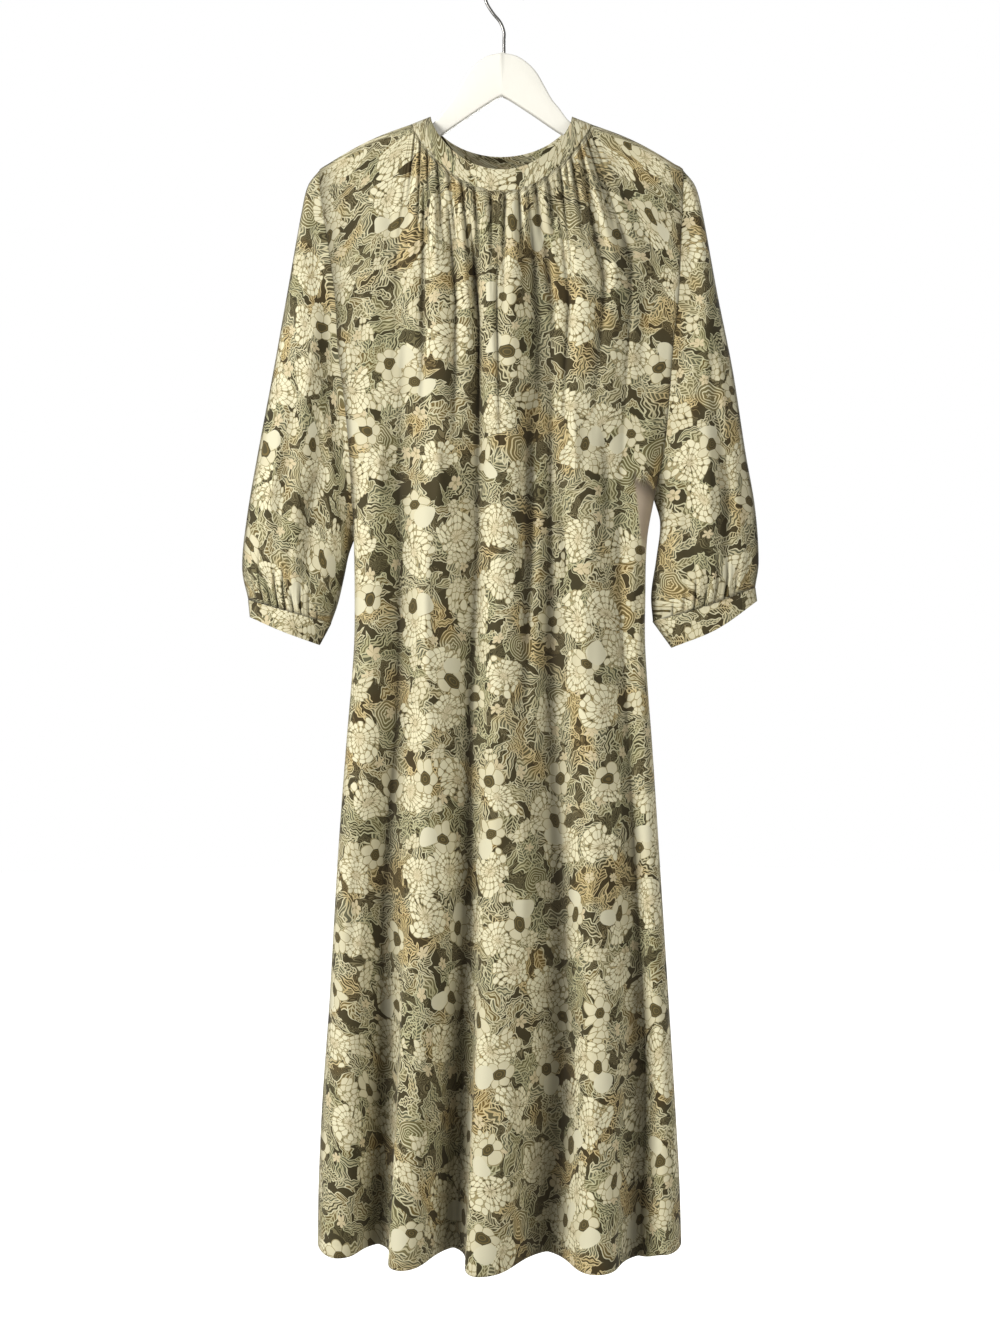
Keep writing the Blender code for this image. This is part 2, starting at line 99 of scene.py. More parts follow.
# Fold lines from the yoke to the hem, crests and troughs in turn from the viewer's left. Lean is how far the
# flank on a line's left overhangs near the hem.
Levels = namedtuple("Levels", "yoke bust waist hip thigh knee hem")
LEVEL_DROP = Levels(367, 512, 658, 837, 1039, 1218, 1430)
Fold = namedtuple("Fold", "across depth hem_drop lean")
FOLDS = {
    "front": (
        Fold(Levels(-139, -148, -144, -152, -170, -172, -183), Levels(22, 24, 26, 30, 36, 44, 52), 1426, 0),
        Fold(Levels(-111, -116, -116, -119, -132, -134, -141), Levels(26, 18, 14, 13, 11, 8, 6), 1422, 0.3),
        Fold(Levels(-69, -72, -83, -81, -88, -98, -112), Levels(38, 38, 38, 42, 48, 58, 72), 1434, 1.15),
        Fold(Levels(-29, -29, -30, -37, -40, -49, -57), Levels(34, 22, 17, 15, 12, 8, 6), 1426, 0.2),
        Fold(Levels(-8, -4, -4, -8, -8, -16, -28), Levels(46, 42, 40, 42, 48, 60, 75), 1440, 1.1),
        Fold(Levels(54, 52, 52, 54, 63, 65, 48), Levels(34, 20, 16, 14, 12, 10, 8), 1430, 0.2),
        Fold(Levels(91, 80, 91, 96, 99, 99, 101), Levels(42, 38, 38, 41, 49, 60, 74), 1438, 0.3),
        Fold(Levels(139, 132, 128, 137, 148, 156, 150), Levels(28, 22, 17, 18, 15, 12, 10), 1434, 0.4),
        Fold(Levels(169, 158, 144, 152, 162, 174, 176), Levels(20, 20, 20, 24, 28, 34, 42), 1425, 0.2),
    ),
    "back": (
        Fold(Levels(-148, -152, -150, -158, -168, -175, -180), Levels(20, 22, 24, 28, 36, 44, 54), 1425, 0),
        Fold(Levels(-105, -110, -114, -119, -125, -130, -133), Levels(24, 18, 15, 13, 11, 9, 8), 1422, 0.4),
        Fold(Levels(-55, -60, -65, -67, -72, -76, -80), Levels(34, 35, 34, 38, 46, 56, 68), 1434, 0.9),
        Fold(Levels(-5, -7, -9, -11, -15, -20, -26), Levels(27, 20, 16, 14, 12, 10, 8), 1425, 0.2),
        Fold(Levels(46, 46, 46, 46, 44, 40, 34), Levels(35, 36, 35, 40, 48, 58, 70), 1436, 0.5),
        Fold(Levels(96, 99, 99, 101, 103, 106, 105), Levels(24, 18, 15, 13, 11, 9, 8), 1423, 1.0),
        Fold(Levels(148, 144, 140, 144, 152, 162, 168), Levels(20, 20, 22, 27, 34, 42, 52), 1426, 0.3),
    ),
}
LEAN_FROM = 900
TROUGH_SHARPNESS = 0.6
LEAN_FULL = 1380

# Main creases. Each runs from one point to another, a ridge where its height is above 0 and else a trough.
Crease = namedtuple("Crease", "x drop end_x end_drop height width")
CREASES = {
    "front": (
        Crease(27, 470, 23, 860, -9, 8),
        Crease(40, 480, 38, 900, 4, 8),
        Crease(-134, 505, -138, 600, 4, 6),
        Crease(-85, 630, -87, 880, 5, 8),
        Crease(-72, 505, -74, 620, 4, 6),
        Crease(74, 450, 76, 595, 4, 6),
        Crease(85, 695, 88, 845, 4, 7),
        Crease(121, 250, 124, 372, 4, 7),
        Crease(123, 885, 126, 1025, 5, 8),
        Crease(96, 1000, 98, 1100, 4, 6),
        Crease(96, 1235, 100, 1335, 5, 8),
        Crease(-150, 300, -146, 460, 3, 9),
        Crease(-128, 270, -122, 400, -3, 7),
        Crease(150, 330, 156, 470, -3, 8),
        Crease(-30, 270, -30, 400, -5, 5),
        Crease(50, 250, 53, 420, -6, 5),
        Crease(14, 280, 16, 380, 3, 5),
        Crease(-60, 900, -66, 1060, 4, 7),
        Crease(20, 900, 22, 1120, 4, 8),
        Crease(-16, 1000, -24, 1200, -4, 6),
        Crease(-160, 930, -168, 1150, -4, 8),
        Crease(-104, 1130, -112, 1330, -4, 8),
        Crease(64, 560, 66, 700, -3, 5),
        Crease(112, 480, 110, 640, -4, 7),
        Crease(5, 1220, 0, 1400, 4, 9),
        Crease(150, 640, 146, 760, -3, 5),
        Crease(-56, 400, -54, 520, -3, 6),
        Crease(158, 1080, 166, 1280, 4, 8),
    ),
    "back": (
        Crease(-30, 250, -28, 420, -5, 6),
        Crease(16, 260, 18, 400, -4, 6),
        Crease(52, 240, 56, 380, 3, 6),
        Crease(-90, 300, -86, 450, -4, 7),
        Crease(-60, 520, -63, 700, -4, 7),
        Crease(62, 480, 64, 680, 4, 7),
        Crease(24, 620, 22, 860, -6, 8),
        Crease(-128, 650, -134, 800, 3, 7),
        Crease(122, 700, 124, 900, 4, 8),
        Crease(-100, 860, -106, 1060, 4, 8),
        Crease(-44, 940, -50, 1180, -4, 8),
        Crease(66, 980, 64, 1220, -5, 8),
        Crease(136, 1080, 144, 1300, 3, 8),
        Crease(-152, 1100, -160, 1320, -4, 9),
        Crease(8, 1200, 4, 1400, 4, 9),
        Crease(120, 290, 128, 430, -3, 8),
    ),
    "left sleeve": (
        Crease(-226, 300, -250, 470, -4, 8),
        Crease(-206, 350, -226, 560, 4, 9),
        Crease(-246, 500, -268, 660, 4, 8),
        Crease(-212, 560, -226, 690, -5, 8),
        Crease(-232, 590, -244, 700, -4, 6),
        Crease(-262, 560, -272, 680, -4, 6),
    ),
    "right sleeve": (
        Crease(247, 505, 249, 665, -7, 7),
        Crease(230, 480, 232, 640, 4, 8),
        Crease(212, 360, 222, 520, -4, 8),
        Crease(200, 560, 196, 690, -4, 7),
        Crease(262, 560, 268, 670, 4, 6),
        Crease(216, 590, 214, 700, 3, 6),
    ),
}

# Neck. The seam between the panels and the band, and the band's free edge, are ovals that dip at front and back.
NECK_MIDDLE = -3
Neck = namedtuple("Neck", "half_width end_drop dip bow depth")
BAND_SEAM = {"front": Neck(101, 171, 85, 1.75, 48), "back": Neck(101, 171, 50, 1.5, 38)}
BAND_EDGE = {"front": Neck(79, 162, 69, 1.35, 45), "back": Neck(79, 162, 36, 1.3, 36)}
SHOULDER_COLUMNS = {"front": 12, "back": 8}
SHOULDER_BEND = 5
GATHER_COLUMNS = 4
PLEAT_HEIGHT = 5.2

# Sleeves. Points run down the outer fold and down the underarm seam to the cuff.
Point = namedtuple("Point", "x drop")
Sleeve = namedtuple("Sleeve", "side outer inner cuff_seam cuff_edge gathers folds")
SleeveFold = namedtuple("SleeveFold", "face across half_width start end depth")
SLEEVE_DEPTH = {0.0: 16, 0.2: 24, 0.5: 30, 0.8: 33, 0.92: 31, 1.0: 21}
SLEEVE_SETTLE = 0.35
SLEEVE_BLUNT = 0.7
SLEEVES = (
    Sleeve(
        "left",
        (Point(-219, 238), Point(-226, 266), Point(-242, 356), Point(-258, 446), Point(-275, 536), Point(-288, 612), Point(-293, 668)),
        (Point(-174, 652), Point(-179, 676), Point(-186, 706)),
        (Point(-194, 729), Point(-240, 716), Point(-286, 703)),
        (Point(-207, 753), Point(-247, 738), Point(-284, 722)),
        22,
        (
            SleeveFold("front", 0.30, 0.16, 0.30, 0.97, 6),
            SleeveFold("front", 0.62, 0.14, 0.45, 1.00, 5),
            SleeveFold("back", 0.45, 0.18, 0.35, 1.00, 6),
        ),
    ),
    Sleeve(
        "right",
        (Point(214, 239), Point(222, 269), Point(238, 356), Point(256, 446), Point(270, 536), Point(281, 600), Point(285, 660)),
        (Point(175, 616), Point(171, 655), Point(165, 697)),
        (Point(167, 727), Point(222, 711), Point(281, 689)),
        (Point(188, 756), Point(236, 736), Point(283, 704)),
        20,
        (
            SleeveFold("front", 0.66, 0.15, 0.40, 1.00, 7),
            SleeveFold("front", 0.34, 0.14, 0.50, 0.96, 4),
            SleeveFold("back", 0.50, 0.18, 0.35, 1.00, 6),
        ),
    ),
)
# The rows of the part's own armhole, which a sleeve's start is spread over
ARMHOLE_ROWS = (635, 590, 529, 465, 401, 341, 301, 266, 243, 232, 225, 221)

# How far around a point, in grid columns, and how deep below it a trough has to be for its full shade
Shade = namedtuple("Shade", "reach depth share")
FOLD_SHADES = (Shade(5, 2.3, 0.6), Shade(18, 12, 0.6))
# Seams: how deep a ditch is and how far it spreads, how dark and how wide the painted shade along a seam is, and how
# far an edge is tucked under the next piece
DITCH = 0.5
DITCH_WIDTH = 1.6
SEAM_SHADE = 0.85
SEAM_SHADE_WIDTH = 6
TUCK = 0.9
# The hem is turned up and stitched. Rows of the grid above the hem, close together at the stitches
HEM_TURN = 13
HEM_ROWS = (20, 16, 14.5, 13, 11.5, 10, 6, 2.5, 0)

# A plain strip shows at the front panel's side below the right underarm, under a slanting edge that has a painted
# shadow beneath it.
STRIP_TOP = (Point(135.4, 558.7), Point(174.7, 584.6))
STRIP_LEFT = (Point(144.5, 568), Point(147.8, 593), Point(150.8, 625), Point(153.4, 642))
STRIP_SHADOW = 1.5
STRIP_SHADOW_REACH = 26

HANGER_MIDDLE = -2
HANGER_SLOPE = 0.035
HANGER_SLOPE_REACH = 60
HANGER_OUTLINE = (
    Point(0, 91),
    Point(15, 94),
    Point(27, 101),
    Point(38, 112),
    Point(48, 129),
    Point(56, 143),
    Point(65, 154),
    Point(73, 165),
    Point(83, 173),
    Point(100, 177.5),
    Point(125, 185.4),
    Point(160, 198.9),
    Point(184, 212.4),
    Point(194, 222.5),
    Point(196, 234),
    Point(189, 240),
    Point(174, 235),
    Point(120, 210),
    Point(68, 182),
    Point(30, 157),
    Point(8, 143),
    Point(0, 139),
)
HOOK_RADIUS = 22.4
HOOK_STEM = (Point(0, 91), Point(0, 78), Point(0, 67), Point(-4, 56), Point(-12, 46), Point(-18.5, 36), Point(-21.6, 28))
HOOK_START = 192
HOOK_END = -24


def linear(hex_colour):
    """An sRGB hex colour as linear red, green, blue and alpha."""
    values = [int(hex_colour[i : i + 2], 16) / 255 for i in (1, 3, 5)]
    return (*[v / 12.92 if v <= 0.04045 else ((v + 0.055) / 1.055) ** 2.4 for v in values], 1.0)


def mix(a, b, share):
    return a + (b - a) * share


def ease(share):
    """0 to 1 with a level start and end."""
    share = min(max(share, 0.0), 1.0)
    return (1 - math.cos(math.pi * share)) / 2


def through(at, places, values):
    """A smooth curve through values at places, held level past both ends."""
    if at <= places[0]:
        return values[0]
    if at >= places[-1]:
        return values[-1]
    i = next(n for n in range(len(places) - 1) if at <= places[n + 1])
    slopes = []
    for n in (i, i + 1):
        low, high = max(n - 1, 0), min(n + 1, len(places) - 1)
        slopes.append((values[high] - values[low]) / (places[high] - places[low]))
    span = places[i + 1] - places[i]
    t = (at - places[i]) / span
    bend = t * t * (3 - 2 * t)
    start = slopes[0] * span * t * (1 - t) ** 2
    finish = slopes[1] * span * t * t * (1 - t)
    return mix(values[i], values[i + 1], bend) + start - finish


def column_of(table, name, drop):
    return through(drop, [row.drop for row in table], [getattr(row, name) for row in table])


def along(points, share):
    """The point at a share of the way along a polyline, smoothed through its points."""
    steps = [0.0]
    for a, b in zip(points, points[1:]):
        steps.append(steps[-1] + math.hypot(b.x - a.x, b.drop - a.drop))
    at = share * steps[-1]
    return Point(through(at, steps, [p.x for p in points]), through(at, steps, [p.drop for p in points]))


def growing(total, first, longest, growth):
    """Places from 0 to total, close together at the start."""
    places, step = [0.0], first
    while places[-1] < total:
        places.append(places[-1] + step)
        step = min(step * growth, longest)
    return [p * total / places[-1] for p in places]


def neck_point(neck, share):
    """A point of one half of a neck oval, from the viewer's left shoulder to the right: x, drop, depth."""
    reach = math.sin(math.pi * share)
    x = NECK_MIDDLE - neck.half_width * math.cos(math.pi * share)
    return x, neck.end_drop + neck.dip * max(reach, 0) ** neck.bow, SEAM_Y + neck.depth * reach


def last_column(face):
    return (len(FOLDS[face]) + 1) * COLUMNS_A_FLANK[face]


@lru_cache(maxsize=None)
def top_point(face, column):
    """A point of a panel's top edge: along one shoulder, the neck seam and the other shoulder."""
    last, shoulder = last_column(face), SHOULDER_COLUMNS[face]
    if shoulder <= column <= last - shoulder:
        share = (column - shoulder) / (last - 2 * shoulder)
        low, high = neck_point(BAND_SEAM[face], share), neck_point(BAND_EDGE[face], share)
        reach = 1 - TUCK / math.dist(low, high)
        return tuple(mix(b, a, reach) for a, b in zip(low, high))
    left = column < shoulder
    share = (column if left else last - column) / shoulder
    tip = BODY_OUTLINE[0].left if left else BODY_OUTLINE[0].right
    end_x, end_drop, _ = top_point(face, shoulder if left else last - shoulder)
    drop = mix(SHOULDER_TIP_DROP, end_drop, share) - SHOULDER_BEND * math.sin(math.pi * share)
    return mix(tip, end_x, share), drop, SEAM_Y


def fold_section(face, column, drop):
    """x and depth of a panel where its folds are whole, at one column and one drop."""
    folds = FOLDS[face]
    flank = COLUMNS_A_FLANK[face]
    i = min(int(column // flank), len(folds))
    q = column / flank - i

    def line(n):
        if 0 < n <= len(folds):
            fold = folds[n - 1]
            return through(drop, LEVEL_DROP, fold.across), through(drop, LEVEL_DROP, fold.depth)
        side = "left" if n == 0 else "right"
        return column_of(BODY_OUTLINE, side, drop), column_of(EDGE_DEPTH, side, drop)

    (x0, y0), (x1, y1) = line(i), line(i + 1)
    across, rise = q, ease(q)
    if 0 < i < len(folds):
        # A hanging fold is round at its crest and sharper at its trough.
        from_trough = q if y0 < y1 else 1 - q
        sharp = mix(ease(from_trough), math.sin(math.pi / 2 * from_trough), TROUGH_SHARPNESS)
        rise = sharp if y0 < y1 else 1 - sharp
    if i in (0, len(folds)):
        # Below the underarm a panel turns round to its side seam. Above it the panel runs level to the armhole.
        turn = 1 - min(max((min(y0, y1) - SEAM_Y) / SIDE_TURN, 0.0), 1.0)
        angle = math.pi / 2 * q
        round_x = 1 - math.cos(angle) if i == 0 else math.sin(angle)
        round_y = math.sin(angle) if i == 0 else 1 - math.cos(angle)
        across, rise = mix(q, round_x, turn), mix(ease(q), round_y, turn)
    else:
        lean = folds[i].lean * ease((drop - LEAN_FROM) / (LEAN_FULL - LEAN_FROM))
        across += lean * math.sin(2 * math.pi * q) / (2 * math.pi)
    return mix(x0, x1, across), max(mix(y0, y1, rise), SEAM_Y)


@lru_cache(maxsize=None)
def hem_drop(face, column):
    drops = [SIDE_HEM_DROP] + [fold.hem_drop for fold in FOLDS[face]] + [SIDE_HEM_DROP]
    flank = COLUMNS_A_FLANK[face]
    i = min(int(column // flank), len(drops) - 2)
    return mix(drops[i], drops[i + 1], ease(column / flank - i))


def ridged(turn):
    """A wave from -1 to 1 with round crests and sharp troughs, as of gathered cloth."""
    return 2 * abs(math.sin(turn / 2 + math.pi / 4)) ** 0.75 - 1


def gather_wave(face, column, below, height):
    """Gathers at the neck seam, uneven in height and length, which run together in pairs and then into the folds."""
    shoulder, last = SHOULDER_COLUMNS[face], last_column(face)
    if not shoulder < column < last - shoulder:
        return 0.0
    turn = 2 * math.pi * (column - shoulder) / GATHER_COLUMNS
    edge = min(column - shoulder, last - shoulder - column) / GATHER_COLUMNS
    fade_in = ease(edge / 3)
    held = mix(0.2, 1, ease(below / 9))
    uneven = 1 + 0.3 * math.sin(0.76 * turn) + 0.25 * math.sin(1.37 * turn + 2)
    reach = 125 + 55 * math.sin(0.31 * turn + 1) + 25 * math.sin(0.83 * turn)
    small = height * uneven * (1 - ease((below - 35) / reach))
    fine = 0.5 * height * (1 + 0.5 * math.sin(0.57 * turn)) * (1 - ease((below - 10) / (0.5 * reach)))
    pairs = PLEAT_HEIGHT * ease(below / 80) * (1 - ease((below - 110) / 260))
    sway = 0.5 * math.sin(0.31 * turn)
    return fade_in * (
        held * (small * ridged(turn + sway) + fine * ridged(2 * turn + 2.2 + math.sin(0.41 * turn)))
        + pairs * ridged(turn / 2 + 0.6 + sway)
    )


def creased(name, x, drop):
    """How far the main creases and a slight unevenness move the cloth out at a point."""
    moved = 0.5 * math.sin(0.043 * x + 0.011 * drop) * math.sin(0.019 * drop + 1) + 0.35 * math.sin(0.083 * x - 0.017 * drop)
    for i, crease in enumerate(CREASES[name]):
        if not crease.drop < drop < crease.end_drop:
            continue
        share = (drop - crease.drop) / (crease.end_drop - crease.drop)
        line = mix(crease.x, crease.end_x, share) + 2.2 * math.sin(5 * share + i)
        away = (x - line) / crease.width
        if abs(away) < 3:
            moved += crease.height * math.sin(math.pi * share ** mix(0.7, 1.4, i % 3 / 2)) * math.exp(-away * away)
    return moved


def ditch(distance):
    return DITCH * math.exp(-((distance / DITCH_WIDTH) ** 2))


def panel_point(face, column, side_drop, gather_height, detail=True):
    """A point of the front or back panel in millimetres: x, y and drop. side_drop is its row's drop at the side seam."""
    top_x, top_drop, top_depth = top_point(face, column)
    share = (side_drop - SHOULDER_TIP_DROP) / (SIDE_HEM_DROP - SHOULDER_TIP_DROP)
    drop = mix(top_drop, hem_drop(face, column), share)
    below = drop - top_drop
    last = last_column(face)
    fold_x, fold_depth = fold_section(face, column, drop)
    x = mix(top_x, fold_x, min(below / (LEVEL_DROP.yoke - SHOULDER_TIP_DROP), 1.0))
    at_edge = max(0.0, 1 - min(column, last - column))
    x = mix(x, fold_x, at_edge)
    roll = max(SHOULDER_ROLL - top_depth, 0)
    arc = math.sqrt(1 - (1 - min(below / SHOULDER_ROLL, 1)) ** 2)
    depth = top_depth + roll * arc + (fold_depth - top_depth - roll) * ease(below / NECK_EASE)
    depth += gather_wave(face, column, below, gather_height)
    if detail:
        inner = ease(min(column, last - column) / 6) * ease((below - 10) / 60)
        depth += inner * creased(face, x, drop)
        depth -= ditch(SIDE_HEM_DROP - HEM_TURN - side_drop) * ease(min(column, last - column) / 2)
        side = -1 if column < last / 2 else 1
        edge = column_of(BODY_OUTLINE, "left" if side < 0 else "right", drop)
        x -= side * ditch(depth - SEAM_Y) * ease((below - SHOULDER_ROLL) / 20) * (abs(x - edge) < 6)
        if drop < UNDERARM_DROP["left" if side < 0 else "right"]:
            depth -= ditch(min(column, last - column) * 5) * ease(below / SHOULDER_ROLL)
    return x, (-1 if face == "front" else 1) * max(depth, SEAM_Y), drop


@lru_cache(maxsize=None)
def armhole_point(face, side, s, gather_height):
    """Where a sleeve starts: s runs from the underarm up to the shoulder tip, tucked under the panel's edge."""
    column = 0 if side == "left" else last_column(face)
    rows = [row for row in ARMHOLE_ROWS if row <= UNDERARM_DROP[side]]
    at = s * (len(rows) - 1)
    i = min(int(at), len(rows) - 2)
    x, y, drop = panel_point(face, column, mix(rows[i], rows[i + 1], at - i), gather_height, False)
    inside = TUCK if 0 < s < 1 else 0
    depth = max(abs(y) - inside, 0.0) if 0 < s < 1 else 0.0
    return x + (inside if side == "left" else -inside), depth, drop


def sleeve_depth(share):
    return through(share, list(SLEEVE_DEPTH), list(SLEEVE_DEPTH.values()))


def sleeve_point(sleeve, face, s, t, gather_height):
    """A point of one half of a sleeve. s runs from the underarm seam to the outer fold, t from armhole to cuff."""
    tip, under = (armhole_point(face, sleeve.side, end, gather_height) for end in (1, 0))
    first_x, first_depth, first_drop = armhole_point(face, sleeve.side, s, gather_height)
    outer_line = (Point(tip[0], tip[2]),) + sleeve.outer + (sleeve.cuff_seam[-1],)
    inner_line = (Point(under[0], under[2]),) + sleeve.inner + (sleeve.cuff_seam[0],)
    outer, inner = along(outer_line, t), along(inner_line, t)
    last = along(sleeve.cuff_seam, s)
    corners = (inner_line[0], outer_line[0], inner_line[-1], outer_line[-1])

    def coons(get, first):
        a, b, c, d = (get(corner) for corner in corners)
        ruled = mix(get(inner), get(outer), s) + mix(first, get(last), t)
        return ruled - mix(mix(a, b, s), mix(c, d, s), t)

    x, drop = coons(lambda p: p.x, first_x), coons(lambda p: p.drop, first_drop)
    half = math.sin(math.pi * s) ** SLEEVE_BLUNT if 0 < s < 1 else 0.0
    free = sleeve_depth(t) * half
    for fold in sleeve.folds:
        if fold.face == face and abs(s - fold.across) < fold.half_width and fold.start < t <= fold.end:
            bell = math.cos(math.pi / 2 * (s - fold.across) / fold.half_width) ** 2
            free -= fold.depth * bell * math.sin(math.pi * min((t - fold.start) / (fold.end - fold.start), 1)) ** 0.5
    depth = mix(first_depth, free, ease(t / SLEEVE_SETTLE))
    mirrored = s if face == "front" else 1 - 0.8 * s
    depth += creased(f"{sleeve.side} sleeve", x, drop) * math.sin(math.pi * s) ** 1.5 * ease(t / 0.2) * (1 if mirrored == s else -0.7)
    return x, (-1 if face == "front" else 1) * max(depth, 0.0), drop


def cuff_gather(sleeve, around, t, height):
    """Gathers above the cuff, uneven in height and length."""
    turn = 2 * math.pi * around * sleeve.gathers
    reach = 0.13 + 0.05 * math.sin(0.37 * turn) + 0.03 * math.sin(0.71 * turn + 1)
    grown = ease((t - 1 + reach) / (0.8 * reach)) * mix(1, 0.3, ease((t - 0.985) / 0.015))
    uneven = 1 + 0.35 * math.sin(0.63 * turn) + 0.2 * math.sin(1.7 * turn + 1)
    return height * grown * uneven * (ridged(turn) + 0.35 * math.sin(2 * turn + 1))


def face_of(around):
    """Which half of a sleeve or cuff a point is on, and its s there."""
    return ("front", 2 * around) if around <= 0.5 else ("back", 2 - 2 * around)


def flattened(points, columns, rows, start, lean=0.0, fullness=None):
    """Where each point lies on the cloth before it was sewn, in millimetres: across and down, by column and row.

    Each row is walked from its start column. What a fold takes up is laid out across, and the rest stays in place.
    """
    flat = {}
    cos, sin = math.cos(lean), math.sin(lean)
    down = 0.0
    for row in range(rows):
        x, y, drop = points[start, row]
        if row:
            x0, y0, drop0 = points[start, row - 1]
            down += math.dist((x, y, drop), (x0, y0, drop0))
        else:
            down = drop * cos - x * sin
        flat[start, row] = (x * cos + drop * sin, down)
        for way in (-1, 1):
            u, v = flat[start, row]
            column = start
            while 0 <= column + way < columns:
                (x0, y0, d0), (x1, y1, d1) = points[column, row], points[column + way, row]
                column += way
                step_across = (x1 - x0) * cos + (d1 - d0) * sin
                full = fullness(column, row) if fullness else 1.0
                u += way * full * math.hypot(step_across, y1 - y0)
                v += (d1 - d0) * cos - (x1 - x0) * sin
                flat[column, row] = (u, v)
    return flat


def seam_shade(distance):
    """How dark the painted shade in a seam's ditch is at a distance from it in millimetres, from 0 to 1."""
    return SEAM_SHADE * max(0.0, 1 - distance / SEAM_SHADE_WIDTH)


def plain_strip(x, drop):
    """The plain strip below the right underarm: how much of it shows at a point, and how deep the painted shadow under
    its top edge is.
    """
    low = drop - mix(STRIP_TOP[0].drop, STRIP_TOP[1].drop, (x - STRIP_TOP[0].x) / (STRIP_TOP[1].x - STRIP_TOP[0].x))
    left = through(drop, [p.drop for p in STRIP_LEFT], [p.x for p in STRIP_LEFT])
    shown = ease((low + 1) / 2) * ease((x - left + 1) / 2) * (1 - ease((drop - STRIP_LEFT[-1].drop + 12) / 24))
    shadow = STRIP_SHADOW * max(0.0, 1 - abs(low) / STRIP_SHADOW_REACH) ** 2 * ease((x - STRIP_TOP[0].x) / 12)
    return shown, shadow if low > -1 else 0.0


def fold_shade(points, columns, rows):
    """How far each point lies below the cloth around it, from 0 to 1: the fold's own shade gathers there."""
    shade = {}
    for row in range(rows):
        out = [abs(points[column, row][1]) for column in range(columns)]
        for column in range(columns):
            total = 0.0
            for reach, depth, share in FOLD_SHADES:
                low, high = max(column - reach, 0), min(column + reach, columns - 1)
                around = sum(out[low : high + 1]) / (high - low + 1)
                total += share * min(max((around - out[column]) / depth, 0.0), 1.0)
            shade[column, row] = min(total, 1.0)
    return shade


def shell(name, node, points, columns, rows, flat, thickness, slots, flat_shift, painted_shade=None, plain=None):
    """A sheet of cloth through a grid of points, with its flat places as its UV map, thickened to both sides.

    The painted shade at its seams and edges is given by column and row, and plain gives how much of its cloth is
    unprinted.
    """
    mesh = bmesh.new()
    bmesh.ops.create_grid(mesh, x_segments=columns - 1, y_segments=rows - 1, size=0.5)
    cell = {}
    for vertex in mesh.verts:
        column, row = round((vertex.co.x + 0.5) * (columns - 1)), round((0.5 - vertex.co.y) * (rows - 1))
        cell[vertex.index] = (column, row)
    uv = mesh.loops.layers.uv.new("cloth")
    shade = fold_shade(points, columns, rows)
    shaded = mesh.verts.layers.float.new("fold_shade")
    unprinted = mesh.verts.layers.float.new("plain")
    for face in mesh.faces:
        for loop in face.loops:
            u, v = flat[cell[loop.vert.index]]
            loop[uv].uv = ((u + flat_shift[0]) * MM, -(v + flat_shift[1]) * MM)
    for vertex in mesh.verts:
        x, y, drop = points[cell[vertex.index]]
        vertex.co = (x * MM, y * MM, -drop * MM)
        place = cell[vertex.index]
        # Each point keeps the painted shade of its fold trough and of its seams, which darkens the cloth's colour
        vertex[shaded] = min(shade[place] + (painted_shade[place] if painted_shade else 0.0), 1.0)
        vertex[unprinted] = plain[place] if plain else 0.0
    bmesh.ops.remove_doubles(mesh, verts=mesh.verts, dist=0.00001)
    bmesh.ops.recalc_face_normals(mesh, faces=mesh.faces)
    if sum(face.normal.y * face.calc_center_median().y for face in mesh.faces) < 0:
        bmesh.ops.reverse_faces(mesh, faces=mesh.faces)
    data = bpy.data.meshes.new(name)
    mesh.to_mesh(data)
    mesh.free()
    data.shade_smooth()
    for slot in slots:
        data.materials.append(slot)
    piece = bpy.data.objects.new(name, data)
    bpy.context.scene.collection.objects.link(piece)
    wall = piece.modifiers.new("wall", "SOLIDIFY")
    wall.thickness = thickness
    wall.offset = 0
    wall.use_quality_normals = True
    wall.material_offset = len(slots) - 1
    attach(piece, "root")
    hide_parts(node)
    return piece


def declare(piece, flat, columns, rows):
    """Says how large the piece was cut: the box and the area of its flat places."""
    across = [u for u, _ in flat.values()]
    down = [v for _, v in flat.values()]
    size = ((max(across) - min(across)) * MM, (max(down) - min(down)) * MM)
    area = 0.0
    for column in range(columns - 1):
        for row in range(rows - 1):
            corners = [flat[column + i, row + j] for i, j in ((0, 0), (1, 0), (1, 1), (0, 1))]
            pairs = zip(corners, corners[1:] + corners[:1])
            area += abs(sum(a[0] * b[1] - b[0] * a[1] for a, b in pairs)) / 2
    area = min(max(area * MM * MM, 0.3 * size[0] * size[1]), size[0] * size[1])
    print(f"{piece.name}: flat {size[0]:.3f} x {size[1]:.3f} m, area {area:.4f} m2")


def add_node(tree, name, kind, inputs, **settings):
    """Adds one named node. An input is a value, or an earlier node's name with its output after a dot."""
    node = tree.nodes.new("ShaderNode" + kind)
    node.name = name
    for key, value in settings.items():
        setattr(node, key, value)
    for socket, value in inputs.items():
        if isinstance(value, str):
            source, _, output = value.partition(".")
            made = tree.nodes[source]
            found = made.outputs[output] if output else next(o for o in made.outputs if o.enabled)
            tree.links.new(found, node.inputs[socket])
        else:
            node.inputs[socket].default_value = value
    return node


def new_group(name, inputs, outputs):
    """An empty node group with number or vector inputs and outputs."""
    group = bpy.data.node_groups.new(name, "ShaderNodeTree")
    for way, sockets in (("INPUT", inputs), ("OUTPUT", outputs)):
        for socket, kind in sockets.items():
            group.interface.new_socket(socket, in_out=way, socket_type="NodeSocket" + kind)
    group.nodes.new("NodeGroupInput").name = "in"
    return group


def close_group(group, links):
    out = group.nodes.new("NodeGroupOutput")
    for socket, source in links.items():
        node, _, output = source.partition(".")
        made = group.nodes[node]
        found = made.outputs[output] if output else next(o for o in made.outputs if o.enabled)
        group.links.new(found, out.inputs[socket])


